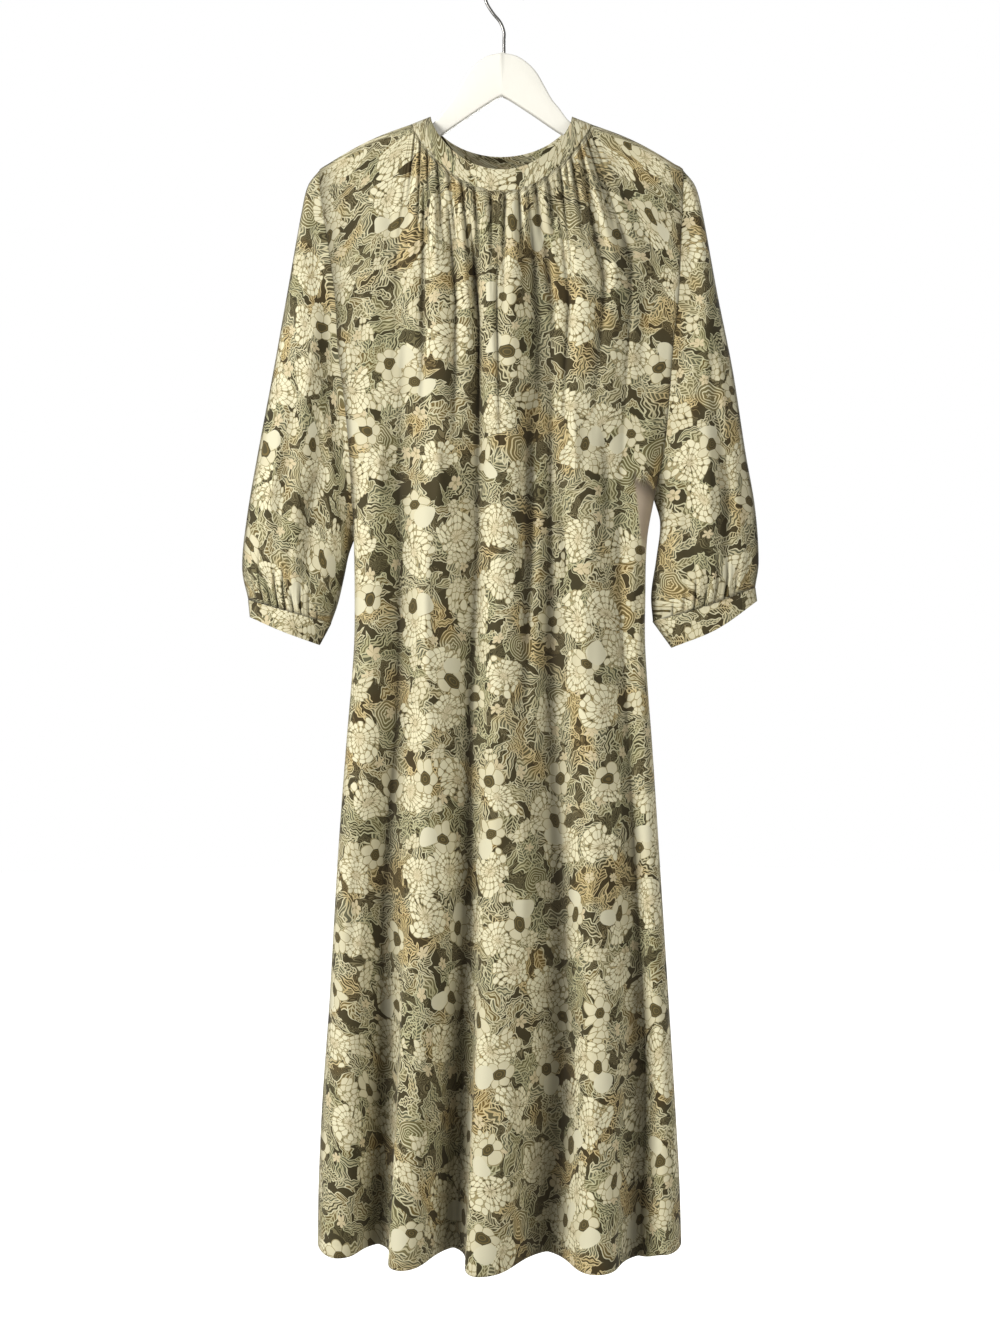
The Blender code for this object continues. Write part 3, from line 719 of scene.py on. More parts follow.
def set_ramp(node, stops, interpolation="LINEAR"):
    """Gives a colour ramp its stops, each a place and a colour."""
    ramp = node.color_ramp
    ramp.interpolation = interpolation
    while len(ramp.elements) < len(stops):
        ramp.elements.new(0.5)
    for element, (place, colour) in zip(ramp.elements, stops):
        element.position = place
        element.color = colour


def motif_group():
    """Scatters a motif: each point of the cloth gets its place in the nearest motif's own turned axes."""
    group = new_group(
        "scattered_motif",
        {"Cloth": "Vector", "Shift": "Vector", "Spacing": "Float", "Spread": "Float"},
        {
            "Local": "Vector",
            "Across": "Float",
            "Along": "Float",
            "Far": "Float",
            "Angle": "Float",
            "Chance": "Float",
            "Size": "Float",
        },
    )
    add = partial(add_node, group)
    add("place", "VectorMath", {0: "in.Cloth", 1: "in.Shift"}, operation="ADD")
    add("per", "Math", {0: 1.0, 1: "in.Spacing"}, operation="DIVIDE")
    add("cell", "TexVoronoi", {"Vector": "place", "Scale": "per", "Randomness": "in.Spread"}, voronoi_dimensions="2D")
    add("local", "VectorMath", {0: "place", 1: "cell.Position"}, operation="SUBTRACT")
    add("chances", "SeparateColor", {0: "cell.Color"})
    add("turn", "Math", {0: "chances.Red", 1: 2 * math.pi}, operation="MULTIPLY")
    add("turned", "VectorRotate", {"Vector": "local", "Angle": "turn"}, rotation_type="Z_AXIS")
    add("axes", "SeparateXYZ", {0: "turned"})
    add("far", "VectorMath", {0: "turned"}, operation="LENGTH")
    add("angle", "Math", {0: "axes.Y", 1: "axes.X"}, operation="ARCTAN2")
    close_group(
        group,
        {
            "Local": "turned",
            "Across": "axes.X",
            "Along": "axes.Y",
            "Far": "far.Value",
            "Angle": "angle",
            "Chance": "chances.Green",
            "Size": "chances.Blue",
        },
    )
    return group


def leaf_group(motif):
    """A long curved leaf with lobes, a midrib and either slanting veins or lines along its edge, drawn in its cell."""
    group = new_group(
        "veined_leaf",
        {"Cloth": "Vector", "Shift": "Vector", "Spacing": "Float", "Length": "Float", "Width": "Float"},
        {"Inside": "Float", "Line": "Float", "Rim": "Float", "Chance": "Float", "Size": "Float", "Deep": "Float"},
    )
    add = partial(add_node, group)
    inputs = {"Cloth": "in.Cloth", "Shift": "in.Shift", "Spacing": "in.Spacing", "Spread": 0.9}
    add("cell", "Group", inputs, node_tree=motif)
    # A leaf is Length to each side of its middle. Its lines are about a millimetre wide and 4 mm apart.
    for name, operation, a, b in (
        ("u", "DIVIDE", "cell.Along", "in.Length"),
        ("uu", "MULTIPLY", "u", "u"),
        ("hook", "MULTIPLY", "cell.Size", 13.0),
        ("bend", "MULTIPLY", "uu", "hook"),
        ("v", "ADD", "cell.Across", "bend"),
        ("off", "ABSOLUTE", "v", 0.0),
        ("taper", "SUBTRACT", 1.0, "uu"),
        ("lobe_side", "SIGN", "v", 0.0),
        ("lobe_turn", "MULTIPLY", "u", 11.0),
        ("lobe_at", "ADD", "lobe_turn", "lobe_side"),
        ("lobe", "SINE", "lobe_at", 0.0),
        ("lobe_low", "MULTIPLY", "lobe", 0.17),
        ("lobed", "ADD", "lobe_low", 0.86),
        ("wide", "MULTIPLY", "taper", "in.Width"),
        ("wide_lobed", "MULTIPLY", "wide", "lobed"),
        ("half", "MAXIMUM", "wide_lobed", 0.05),
        ("edge", "SUBTRACT", "half", "off"),
        ("inside", "GREATER_THAN", "edge", 0.0),
        ("rim", "LESS_THAN", "edge", 1.4),
        ("contour_turn", "MULTIPLY", "edge", 1.35),
        ("contour_wave", "COSINE", "contour_turn", 0.0),
        ("contour", "GREATER_THAN", "contour_wave", 0.5),
        ("vein_back", "MULTIPLY", "off", 0.9),
        ("vein_at", "SUBTRACT", "cell.Along", "vein_back"),
        ("vein_turn", "MULTIPLY", "vein_at", 1.35),
        ("vein_wave", "SINE", "vein_turn", 0.0),
        ("vein", "GREATER_THAN", "vein_wave", 0.5),
        ("pick", "GREATER_THAN", "cell.Chance", 0.5),
        ("rib", "LESS_THAN", "off", 0.6),
        ("deep", "DIVIDE", "off", "half"),
    ):
        add(name, "Math", {0: a, 1: b}, operation=operation)
    add("fill_lines", "Mix", {0: "pick", 2: "contour", 3: "vein"}, data_type="FLOAT")
    for name, operation, a, b in (
        ("with_rib", "MAXIMUM", "fill_lines", "rib"),
        ("line", "MULTIPLY", "with_rib", "inside"),
        ("rim_inside", "MULTIPLY", "rim", "inside"),
    ):
        add(name, "Math", {0: a, 1: b}, operation=operation)
    close_group(
        group,
        {
            "Inside": "inside",
            "Line": "line",
            "Rim": "rim_inside",
            "Chance": "cell.Chance",
            "Size": "cell.Size",
            "Deep": "deep",
        },
    )
    return group


def print_group(colours):
    """The floral print: leaves in line work, roses, eyed flowers, petal heads and plain discs on a dark ground.

    Cloth is the flat cloth's place in millimetres. All motifs are scattered by cells, so none repeats in a row.
    """
    motif = motif_group()
    leaf = leaf_group(motif)
    group = new_group("floral_print", {"Cloth": "Vector"}, {"Color": "Color"})
    add = partial(add_node, group)
    shade = {name: linear(value) for name, value in colours.items()}

    # A slight wobble, as of a drawn line
    add("wobble", "TexNoise", {"Vector": "in.Cloth", "Scale": 0.03, "Detail": 0.0}, noise_dimensions="2D")
    add("wobble_middle", "VectorMath", {0: "wobble.Color", 1: (0.5, 0.5, 0.5)}, operation="SUBTRACT")
    add("wobble_far", "VectorMath", {0: "wobble_middle", "Scale": 16.0}, operation="SCALE")
    add("wobbly", "VectorMath", {0: "in.Cloth", 1: "wobble_far"}, operation="ADD")

    # Ground, with scroll lines 3 to 5 mm apart except in its plain places
    scroll = {"Vector": "in.Cloth", "Scale": 0.03, "Detail": 1.0, "Distortion": 1.6}
    add("scroll", "TexNoise", scroll, noise_dimensions="2D")
    add("patch", "TexNoise", {"Vector": "in.Cloth", "Scale": 0.016, "Detail": 0.0}, noise_dimensions="2D")
    for name, operation, a, b in (
        ("scroll_turn", "MULTIPLY", "scroll.Fac", 90.0),
        ("scroll_wave", "SINE", "scroll_turn", 0.0),
        ("scroll_line", "GREATER_THAN", "scroll_wave", 0.5),
        ("plain", "LESS_THAN", "patch.Fac", 0.56),
        ("scroll_shown", "MULTIPLY", "scroll_line", "plain"),
    ):
        add(name, "Math", {0: a, 1: b}, operation=operation)
    inputs = {0: "scroll_shown", 6: shade["ground"], 7: shade["ground_line"]}
    add("ground_0", "Mix", inputs, data_type="RGBA")

    # Four layers of leaves
    under = "ground_0"
    fills = ((0, "leaf_dark"), (0.24, "leaf_grey"), (0.6, "leaf_khaki"), (0.86, "leaf_brown"))
    for i, (spacing, length, width, shift) in enumerate(
        (
            (47.0, 30.0, 12.0, (13.0, 7.0, 0.0)),
            (43.0, 26.0, 10.5, (311.0, 93.0, 0.0)),
            (38.0, 22.0, 8.5, (1057.0, 577.0, 0.0)),
            (32.0, 18.0, 6.5, (71.0, 1273.0, 0.0)),
        )
    ):
        inputs = {"Cloth": "wobbly", "Shift": shift, "Spacing": spacing, "Length": length, "Width": width}
        add(f"leaf_{i}", "Group", inputs, node_tree=leaf)
        stops = [(place, shade[colour]) for place, colour in fills]
        set_ramp(add(f"leaf_fill_{i}", "ValToRGB", {0: f"leaf_{i}.Size"}), stops, "CONSTANT")
        for name, share, colour in (
            (f"leaf_body_{i}", f"leaf_{i}.Inside", f"leaf_fill_{i}"),
            (f"leaf_lines_{i}", f"leaf_{i}.Line", shade["leaf_line"]),
            (f"leaf_rim_{i}", f"leaf_{i}.Rim", shade["leaf_rim"]),
        ):
            add(name, "Mix", {0: share, 6: under, 7: colour}, data_type="RGBA")
            under = name

    # Roses: a round of curled lines
    inputs = {"Cloth": "wobbly", "Shift": (700.0, 40.0, 0.0), "Spacing": 118.0, "Spread": 0.8}
    add("rose", "Group", inputs, node_tree=motif)
    for name, operation, a, b in (
        ("rose_in", "LESS_THAN", "rose.Far", 20.0),
        ("rose_here", "GREATER_THAN", "rose.Chance", 0.4),
        ("rose_mask", "MULTIPLY", "rose_in", "rose_here"),
        ("rose_rings", "MULTIPLY", "rose.Far", 1.5),
        ("rose_lobes", "MULTIPLY", "rose.Angle", 5.0),
        ("rose_lobe", "SINE", "rose_lobes", 0.0),
        ("rose_far_lobe", "MULTIPLY", "rose_lobe", 1.1),
        ("rose_wavy", "ADD", "rose_rings", "rose_far_lobe"),
        ("rose_spiral", "ADD", "rose_wavy", "rose.Angle"),
        ("rose_wave", "SINE", "rose_spiral", 0.0),
        ("rose_line", "GREATER_THAN", "rose_wave", 0.5),
        ("rose_lines", "MULTIPLY", "rose_line", "rose_mask"),
    ):
        add(name, "Math", {0: a, 1: b}, operation=operation)

    for name, share, colour in (
        ("with_rose", "rose_mask", shade["rose"]),
        ("with_rose_lines", "rose_lines", shade["leaf_rim"]),
    ):
        add(name, "Mix", {0: share, 6: under, 7: colour}, data_type="RGBA")
        under = name

    # Ochre tints in some places and grey-green ones in others, as in a print of several screens
    add("tint", "TexNoise", {"Vector": "in.Cloth", "Scale": 0.013, "Detail": 1.0}, noise_dimensions="2D")
    stops = tuple(
        (place, shade[colour])
        for place, colour in ((0.34, "tint_grey"), (0.47, "tint_none"), (0.56, "tint_none"), (0.66, "tint_ochre"))
    )
    set_ramp(add("tint_colour", "ValToRGB", {0: "tint.Fac"}), stops)
    inputs = {0: 1.0, 6: under, 7: "tint_colour"}
    add("tinted", "Mix", inputs, data_type="RGBA", blend_type="MULTIPLY")
    under = "tinted"

    # Small five-petalled florets
    inputs = {"Cloth": "wobbly", "Shift": (41.0, 811.0, 0.0), "Spacing": 54.0, "Spread": 0.9}
    add("floret", "Group", inputs, node_tree=motif)
    for name, operation, a, b in (
        ("floret_turn", "MULTIPLY", "floret.Angle", 2.5),
        ("floret_sine", "SINE", "floret_turn", 0.0),
        ("floret_lobe", "ABSOLUTE", "floret_sine", 0.0),
        ("floret_reach", "MULTIPLY", "floret_lobe", 4.5),
        ("floret_edge", "ADD", "floret_reach", 4.5),
        ("floret_in", "LESS_THAN", "floret.Far", "floret_edge"),
        ("floret_here", "GREATER_THAN", "floret.Chance", 0.35),
        ("floret_mask", "MULTIPLY", "floret_in", "floret_here"),
        ("floret_gap", "LESS_THAN", "floret_lobe", 0.22),
        ("floret_mid", "LESS_THAN", "floret.Far", 2.0),
        ("floret_both", "MAXIMUM", "floret_gap", "floret_mid"),
        ("floret_lines", "MULTIPLY", "floret_both", "floret_mask"),
    ):
        add(name, "Math", {0: a, 1: b}, operation=operation)
    for name, share, colour in (
        ("with_floret", "floret_mask", shade["petal_shade"]),
        ("with_floret_lines", "floret_lines", shade["petal_line"]),
    ):
        add(name, "Mix", {0: share, 6: under, 7: colour}, data_type="RGBA")
        under = name

    # Small bunches of blossom: rounded cells, kept whole where their own middle lies inside a bunch
    cells = {"Vector": "wobbly", "Scale": 1 / 7.4, "Randomness": 0.6}
    add("blossom", "TexVoronoi", cells, voronoi_dimensions="2D")
    add("blossom_slit", "TexVoronoi", cells, voronoi_dimensions="2D", feature="DISTANCE_TO_EDGE")
    inputs = {"Cloth": "blossom.Position", "Shift": (5.0, 333.0, 0.0), "Spacing": 66.0, "Spread": 0.9}
    add("bunch", "Group", inputs, node_tree=motif)
    for name, operation, a, b in (
        ("bunch_turn", "MULTIPLY", "bunch.Angle", 2.0),
        ("bunch_sine", "SINE", "bunch_turn", 0.0),
        ("bunch_oval", "MULTIPLY", "bunch_sine", 4.0),
        ("bunch_size", "MULTIPLY", "bunch.Size", 9.0),
        ("bunch_least", "ADD", "bunch_size", 9.0),
        ("bunch_edge", "ADD", "bunch_least", "bunch_oval"),
        ("bunch_in", "LESS_THAN", "bunch.Far", "bunch_edge"),
        ("bunch_here", "GREATER_THAN", "bunch.Chance", 0.35),
        ("bunch_head", "MULTIPLY", "bunch_in", "bunch_here"),
        ("bunch_round", "LESS_THAN", "blossom.Distance", 0.66),
        ("bunch_mask", "MULTIPLY", "bunch_head", "bunch_round"),
        ("bunch_rim", "GREATER_THAN", "blossom.Distance", 0.52),
        ("bunch_gap", "LESS_THAN", "blossom_slit.Distance", 0.055),
        ("bunch_drawn", "MAXIMUM", "bunch_rim", "bunch_gap"),
        ("bunch_lines", "MULTIPLY", "bunch_drawn", "bunch_mask"),
    ):
        add(name, "Math", {0: a, 1: b}, operation=operation)
    for name, share, colour in (
        ("with_bunch", "bunch_mask", shade["petal_pale"]),
        ("with_bunch_lines", "bunch_lines", shade["petal_line"]),
    ):
        add(name, "Mix", {0: share, 6: under, 7: colour}, data_type="RGBA")
        under = name

    # Petal heads: 19 petals in each round and a round every 7.5 mm, so the petals grow outwards. The rounds are
    # cells on a drum, which joins them where the angle starts again.
    inputs = {"Cloth": "wobbly", "Shift": (913.0, 205.0, 0.0), "Spacing": 89.0, "Spread": 0.72}
    add("head", "Group", inputs, node_tree=motif)
    for name, operation, a, b in (
        ("head_cos", "COSINE", "head.Angle", 0.0),
        ("head_sin", "SINE", "head.Angle", 0.0),
        ("drum_x", "MULTIPLY", "head_cos", 19 / (2 * math.pi)),
        ("drum_y", "MULTIPLY", "head_sin", 19 / (2 * math.pi)),
        ("head_round_at", "DIVIDE", "head.Far", 7.5),
        ("head_apart", "MULTIPLY", "head.Size", 40.0),
        ("drum_z", "ADD", "head_round_at", "head_apart"),
    ):
        add(name, "Math", {0: a, 1: b}, operation=operation)
    add("drum", "CombineXYZ", {0: "drum_x", 1: "drum_y", 2: "drum_z"})
    add("petal", "TexVoronoi", {"Vector": "drum", "Scale": 1.0, "Randomness": 0.3}, voronoi_dimensions="3D")
    slits = {"Vector": "drum", "Scale": 1.0, "Randomness": 0.3}
    add("petal_slit", "TexVoronoi", slits, voronoi_dimensions="3D", feature="DISTANCE_TO_EDGE")
    add("petal_at", "SeparateXYZ", {0: "petal.Position"})
    for name, operation, a, b in (
        ("petal_round", "SUBTRACT", "petal_at.Z", "head_apart"),
        ("petal_far", "MULTIPLY", "petal_round", 7.5),
        ("petal_turn", "ARCTAN2", "petal_at.Y", "petal_at.X"),
        ("petal_twice", "MULTIPLY", "petal_turn", 2.0),
        ("petal_thrice", "MULTIPLY", "petal_turn", 3.0),
        ("head_two", "SINE", "petal_twice", 0.0),
        ("head_three", "SINE", "petal_thrice", 0.0),
        ("head_uneven", "MULTIPLY", "head_two", 3.0),
        ("head_lumps", "MULTIPLY", "head_three", 2.2),
        ("head_size", "MULTIPLY", "head.Size", 9.0),
        ("head_least", "ADD", "head_size", 24.0),
        ("head_oval", "ADD", "head_least", "head_lumps"),
        ("head_edge", "ADD", "head_oval", "head_uneven"),
        ("head_in", "LESS_THAN", "petal_far", "head_edge"),
        ("head_here", "GREATER_THAN", "head.Chance", 0.07),
        ("head_whole", "MULTIPLY", "head_in", "head_here"),
        ("petal_cap", "LESS_THAN", "petal.Distance", 0.66),
        ("head_mask", "MULTIPLY", "head_whole", "petal_cap"),
        ("petal_rim", "GREATER_THAN", "petal.Distance", 0.53),
        ("petal_gap", "LESS_THAN", "petal_slit.Distance", 0.045),
        ("petal_drawn", "MAXIMUM", "petal_rim", "petal_gap"),
        ("head_lines", "MULTIPLY", "petal_drawn", "head_mask"),
        ("head_out", "DIVIDE", "head.Far", "head_edge"),
    ):
        add(name, "Math", {0: a, 1: b}, operation=operation)
    stops = ((0.0, shade["petal_shade"]), (0.5, shade["petal"]))
    set_ramp(add("head_fill", "ValToRGB", {0: "head_out"}), stops)
    for name, share, colour in (
        ("with_head", "head_mask", "head_fill"),
        ("with_head_lines", "head_lines", shade["petal_line"]),
    ):
        add(name, "Mix", {0: share, 6: under, 7: colour}, data_type="RGBA")
        under = name

    # Eyed flowers: six pale petals round a dark eye, most with a plain disc at their side
    inputs = {"Cloth": "wobbly", "Shift": (377.0, 619.0, 0.0), "Spacing": 108.0, "Spread": 0.78}
    add("eyed", "Group", inputs, node_tree=motif)
    add("disc_local", "VectorMath", {0: "eyed.Local", 1: (21.0, 8.0, 0.0)}, operation="SUBTRACT")
    add("disc_oval", "VectorMath", {0: "disc_local", 1: (1.0, 0.86, 1.0)}, operation="MULTIPLY")
    add("disc_far", "VectorMath", {0: "disc_oval"}, operation="LENGTH")
    for name, operation, a, b in (
        ("eyed_turn", "MULTIPLY", "eyed.Angle", 3.0),
        ("eyed_sine", "SINE", "eyed_turn", 0.0),
        ("eyed_lobe", "ABSOLUTE", "eyed_sine", 0.0),
        ("eyed_reach", "MULTIPLY", "eyed_lobe", 6.0),
        ("eyed_edge", "ADD", "eyed_reach", 17.0),
        ("eyed_in", "LESS_THAN", "eyed.Far", "eyed_edge"),
        ("eyed_here", "GREATER_THAN", "eyed.Chance", 0.22),
        ("eyed_mask", "MULTIPLY", "eyed_in", "eyed_here"),
        ("eyed_inner", "SUBTRACT", "eyed_edge", 1.1),
        ("eyed_rim", "GREATER_THAN", "eyed.Far", "eyed_inner"),
        ("eyed_gap", "LESS_THAN", "eyed_lobe", 0.13),
        ("eyed_drawn", "MAXIMUM", "eyed_rim", "eyed_gap"),
        ("eyed_lines", "MULTIPLY", "eyed_drawn", "eyed_mask"),
        ("eye_edge", "MULTIPLY", "eyed_lobe", -0.8),
        ("eye_reach", "ADD", "eye_edge", 9.8),
        ("eye_in", "LESS_THAN", "eyed.Far", "eye_reach"),
        ("eye_mask", "MULTIPLY", "eye_in", "eyed_here"),
        ("eye_far", "MULTIPLY", "eyed.Far", 1.9),
        ("eye_wave", "SINE", "eye_far", 0.0),
        ("eye_ring", "GREATER_THAN", "eye_wave", 0.6),
        ("eye_rings", "MULTIPLY", "eye_ring", "eye_mask"),
        ("disc_in", "LESS_THAN", "disc_far.Value", 13.0),
        ("disc_here", "GREATER_THAN", "eyed.Chance", 0.42),
        ("disc_mask", "MULTIPLY", "disc_in", "disc_here"),
    ):
        add(name, "Math", {0: a, 1: b}, operation=operation)
    for name, share, colour in (
        ("with_eyed", "eyed_mask", shade["petal_pale"]),
        ("with_eyed_lines", "eyed_lines", shade["petal_line"]),
        ("with_eye", "eye_mask", shade["eye"]),
        ("with_eye_rings", "eye_rings", shade["leaf_brown"]),
        ("with_disc", "disc_mask", shade["disc"]),
    ):
        add(name, "Mix", {0: share, 6: under, 7: colour}, data_type="RGBA")
        under = name

    close_group(group, {"Color": "with_disc"})
    return group


def new_material(name):
    material = bpy.data.materials.new(name)
    material.use_nodes = True
    shader = material.node_tree.nodes["Principled BSDF"]
    shader.name = "shader"
    return material, shader


PRINT_COLOURS = {
    "ground": ("Ground", "#423A21"),
    "ground_line": ("Lines on the ground", "#7A7050"),
    "leaf_dark": ("Dark leaves", "#4B442A"),
    "leaf_grey": ("Grey-green leaves", "#636047"),
    "leaf_khaki": ("Khaki leaves", "#746C48"),
    "leaf_brown": ("Ochre leaves", "#6F5F36"),
    "leaf_line": ("Leaf lines", "#C0B791"),
    "leaf_rim": ("Leaf edges", "#CFC8A4"),
    "rose": ("Roses", "#746A45"),
    "petal": ("Petals", "#DFD8B6"),
    "petal_pale": ("Pale petals", "#D2CAA8"),
    "petal_shade": ("Inner petals", "#CDBE98"),
    "petal_line": ("Petal outlines", "#9C9068"),
    "eye": ("Flower eyes", "#4E4629"),
    "disc": ("Plain discs", "#D6D0B2"),
    "tint_none": ("No tint", "#FFFFFF"),
    "tint_grey": ("Grey-green tint", "#E9ECE4"),
    "tint_ochre": ("Ochre tint", "#FFF0D8"),
}


def cloth_materials(context):
    """The printed cloth's right side and its paler wrong side."""
    found = [bpy.data.materials.get(name) for name in ("printed_viscose_crepe", "printed_viscose_wrong_side")]
    if all(found):
        return found
    values = context.scene.dress_print
    group = print_group({key: hex_colour for key, (_, hex_colour) in PRINT_COLOURS.items()})
    made = []
    # Printed viscose crepe: matt, soft and fine, so it shades evenly with only a faint bloom at its edges.
    for name, fade in (("printed_viscose_crepe", 0.0), ("printed_viscose_wrong_side", values.wrong_side_fade)):
        material, shader = new_material(name)
        add = partial(add_node, material.node_tree)
        add("cloth", "UVMap", {}, uv_map="cloth")
        add("flat", "VectorMath", {0: "cloth.UV", "Scale": 1000 / values.print_scale}, operation="SCALE")
        add("print", "Group", {"Cloth": "flat"}, node_tree=group)
        add("worn", "Mix", {0: fade, 6: "print.Color", 7: linear("#B9B296")}, data_type="RGBA")
        add("unprinted", "Attribute", {}, attribute_name="plain")
        add("stripped", "Mix", {0: "unprinted.Fac", 6: "worn", 7: linear("#A69681")}, data_type="RGBA")
        # Painted shade: the colour is darkened towards dark brown as far as the fold_shade attribute says, deep in the
        # fold troughs, along the seams and under the right underarm's slanting edge
        add("fold", "Attribute", {}, attribute_name="fold_shade")
        add("fold_share", "Math", {0: "fold.Fac", 1: values.fold_shade}, operation="MULTIPLY")
        add("shaded", "Mix", {0: "fold_share", 6: "stripped", 7: linear("#241D0C")}, data_type="RGBA")
        # The real thread is about 0.3 mm, too fine to show, so the crepe's grain is drawn at 1.4 mm.
        add("crepe", "TexNoise", {"Vector": "cloth.UV", "Scale": 700.0, "Detail": 2.0})
        add("bump", "Bump", {"Strength": 0.12, "Distance": 0.0004, "Height": "crepe.Fac"})
        tree = material.node_tree
        tree.links.new(tree.nodes["shaded"].outputs[2], shader.inputs["Base Color"])
        tree.links.new(tree.nodes["bump"].outputs[0], shader.inputs["Normal"])
        shader.inputs["Roughness"].default_value = values.roughness
        shader.inputs["Specular IOR Level"].default_value = 0.25
        shader.inputs["Sheen Weight"].default_value = 0.12
        shader.inputs["Sheen Roughness"].default_value = 0.5
        made.append(material)
    return made


def sewn(point):
    """A point of a panel's edge, brought onto the other panel's edge where the two are sewn together."""
    x, y, drop = point
    return x, 0.0 if abs(y) < 1.5 * SEAM_Y else y, drop


def make_panel(context, face):
    cloth = context.scene.dress_cloth
    last = last_column(face)
    step = 0.4 if face == "front" else 0.34
    inner = round((last - 2) / step)
    places = [0, 0.12, 0.28, 0.6] + [1 + i * (last - 2) / inner for i in range(inner + 1)]
    places += [last - p for p in (0.6, 0.28, 0.12, 0)]
    length = SIDE_HEM_DROP - SHOULDER_TIP_DROP
    drops = growing(length - HEM_ROWS[0], 0.5, 7.6 if face == "front" else 9.0, 1.15)
    drops += [length - up for up in HEM_ROWS[1:]]
    height = cloth.gather_height / MM
    points = {
        (c, r): panel_point(face, column, SHOULDER_TIP_DROP + drop, height)
        for c, column in enumerate(places)
        for r, drop in enumerate(drops)
    }
    shoulder = SHOULDER_COLUMNS[face]
    for c, column in enumerate(places):
        for r in range(len(drops)):
            if column in (0, last) or r == 0:
                points[c, r] = sewn(points[c, r])

    def fullness(column, row):
        inside = ease((min(places[column], last - places[column]) - shoulder) / 6)
        return 1 + cloth.neck_fullness * inside * (1 - ease(drops[row] / 170))

    columns, rows = len(places), len(drops)
    flat = flattened(points, columns, rows, columns // 2, 0.0, fullness)
    shift = (0.0, 0.0) if face == "front" else (1900.0, 350.0)
    # Painted shade below the neck seam's gathers and along the armholes above the underarm, and a painted shadow under
    # the slanting edge at the right underarm
    painted_shade, plain = {}, {}
    for (c, r), (x, _, drop) in points.items():
        inside = min(places[c], last - places[c])
        side = "left" if places[c] < last / 2 else "right"
        painted_shade[c, r] = seam_shade(drops[r]) if inside > shoulder else 0.0
        if drop < UNDERARM_DROP[side]:
            painted_shade[c, r] += seam_shade(inside * 2.5)
        plain[c, r] = 0.0
        if face == "front" and x > STRIP_TOP[0].x and drop > STRIP_TOP[0].drop - 2:
            plain[c, r], shadow = plain_strip(x, drop)
            painted_shade[c, r] += shadow
    cloths = cloth_materials(context)
    name = f"{face}_panel"
    piece = shell(name, f"dress_{face}", points, columns, rows, flat, cloth.thickness, cloths, shift, painted_shade, plain)
    declare(piece, flat, columns, rows)


class DRESS_OT_panels(bpy.types.Operator):
    """Makes the front and back panels, gathered at the neck and falling in folds to the hem"""

    bl_idname = "dress.panels"
    bl_label = "Panels"

    def execute(self, context):
        for face in ("front", "back"):
            make_panel(context, face)
        return {"FINISHED"}


class DRESS_OT_neckband(bpy.types.Operator):
    """Makes the doubled band round the neck"""

    bl_idname = "dress.neckband"
    bl_label = "Neckband"

    def execute(self, context):
        cloth = context.scene.dress_cloth
        columns, rows = 321, 13
        points = {}
        for c in range(columns):
            around = c / (columns - 1)
            face, share = face_of(around)
            share = min(max(share, 0), 1)
            low, high = neck_point(BAND_SEAM[face], share), neck_point(BAND_EDGE[face], share)
            for r in range(rows):
                up = r / (rows - 1)
                x, drop, depth = (mix(a, b, up) for a, b in zip(low, high))
                depth += 0.5 * math.sin(math.pi * up) - SEAM_Y
                pucker = 0.25 * math.sin(2 * math.pi * around * 45) * (1 - up) ** 2
                points[c, r] = (x, (-1 if face == "front" else 1) * max(depth + pucker, 0.0 if share in (0, 1) else depth), drop)
        flat = flattened(points, columns, rows, columns // 4)
        piece = shell("doubled_neckband", "neckband", points, columns, rows, flat, cloth.band_thickness, cloth_materials(context)[:1], (611.0, 97.0))
        soften(piece)
        # It is cut as a straight strip, as long as the ring along its middle.
        return {"FINISHED"}


def soften(piece):
    """Rounds the folded edges of a doubled band."""
    edge = piece.modifiers.new("folded_edge", "BEVEL")
    edge.width = 0.5 * MM
    edge.segments = 2
    edge.limit_method = "ANGLE"
    edge.angle_limit = math.radians(50)


class DRESS_OT_sleeves(bpy.types.Operator):
    """Makes the two sleeves, gathered into their cuffs"""

    bl_idname = "dress.sleeves"
    bl_label = "Sleeves"

    def execute(self, context):
        cloth = context.scene.dress_cloth
        height, cuff_height = cloth.gather_height / MM, cloth.cuff_gather_height / MM
        for sleeve in SLEEVES:
            columns = sleeve.gathers * 8 + 1
            shares = [p / 500 for p in growing(500, 0.8, 5.8, 1.2)]
            rows = len(shares)
            points = {}
            for c in range(columns):
                around = c / (columns - 1)
                face, s = face_of(around)
                for r, t in enumerate(shares):
                    x, y, drop = sleeve_point(sleeve, face, s, t, height)
                    wave = cuff_gather(sleeve, around, t, cuff_height) * math.sin(math.pi * s) if 0 < s < 1 else 0.0
                    points[c, r] = (x, y + (wave if face == "back" else -wave), drop)
            lean = math.radians(13 if sleeve.side == "left" else -12)
            flat = flattened(points, columns, rows, columns // 4, lean, lambda c, r: 1 + cloth.cuff_fullness * ease((shares[r] - 0.85) / 0.15))
            shift = (2900.0, 120.0) if sleeve.side == "left" else (3700.0, 480.0)
            name, node = f"{sleeve.side}_sleeve", f"sleeve_{sleeve.side}"
            # Painted shade along the armhole seam and along the cuff seam
            painted_shade = {(c, r): seam_shade(shares[r] * 500) + seam_shade((1 - shares[r]) * 500) for c, r in points}
            cloths = cloth_materials(context)
            piece = shell(name, node, points, columns, rows, flat, cloth.thickness, cloths, shift, painted_shade)
            declare(piece, flat, columns, rows)
        return {"FINISHED"}


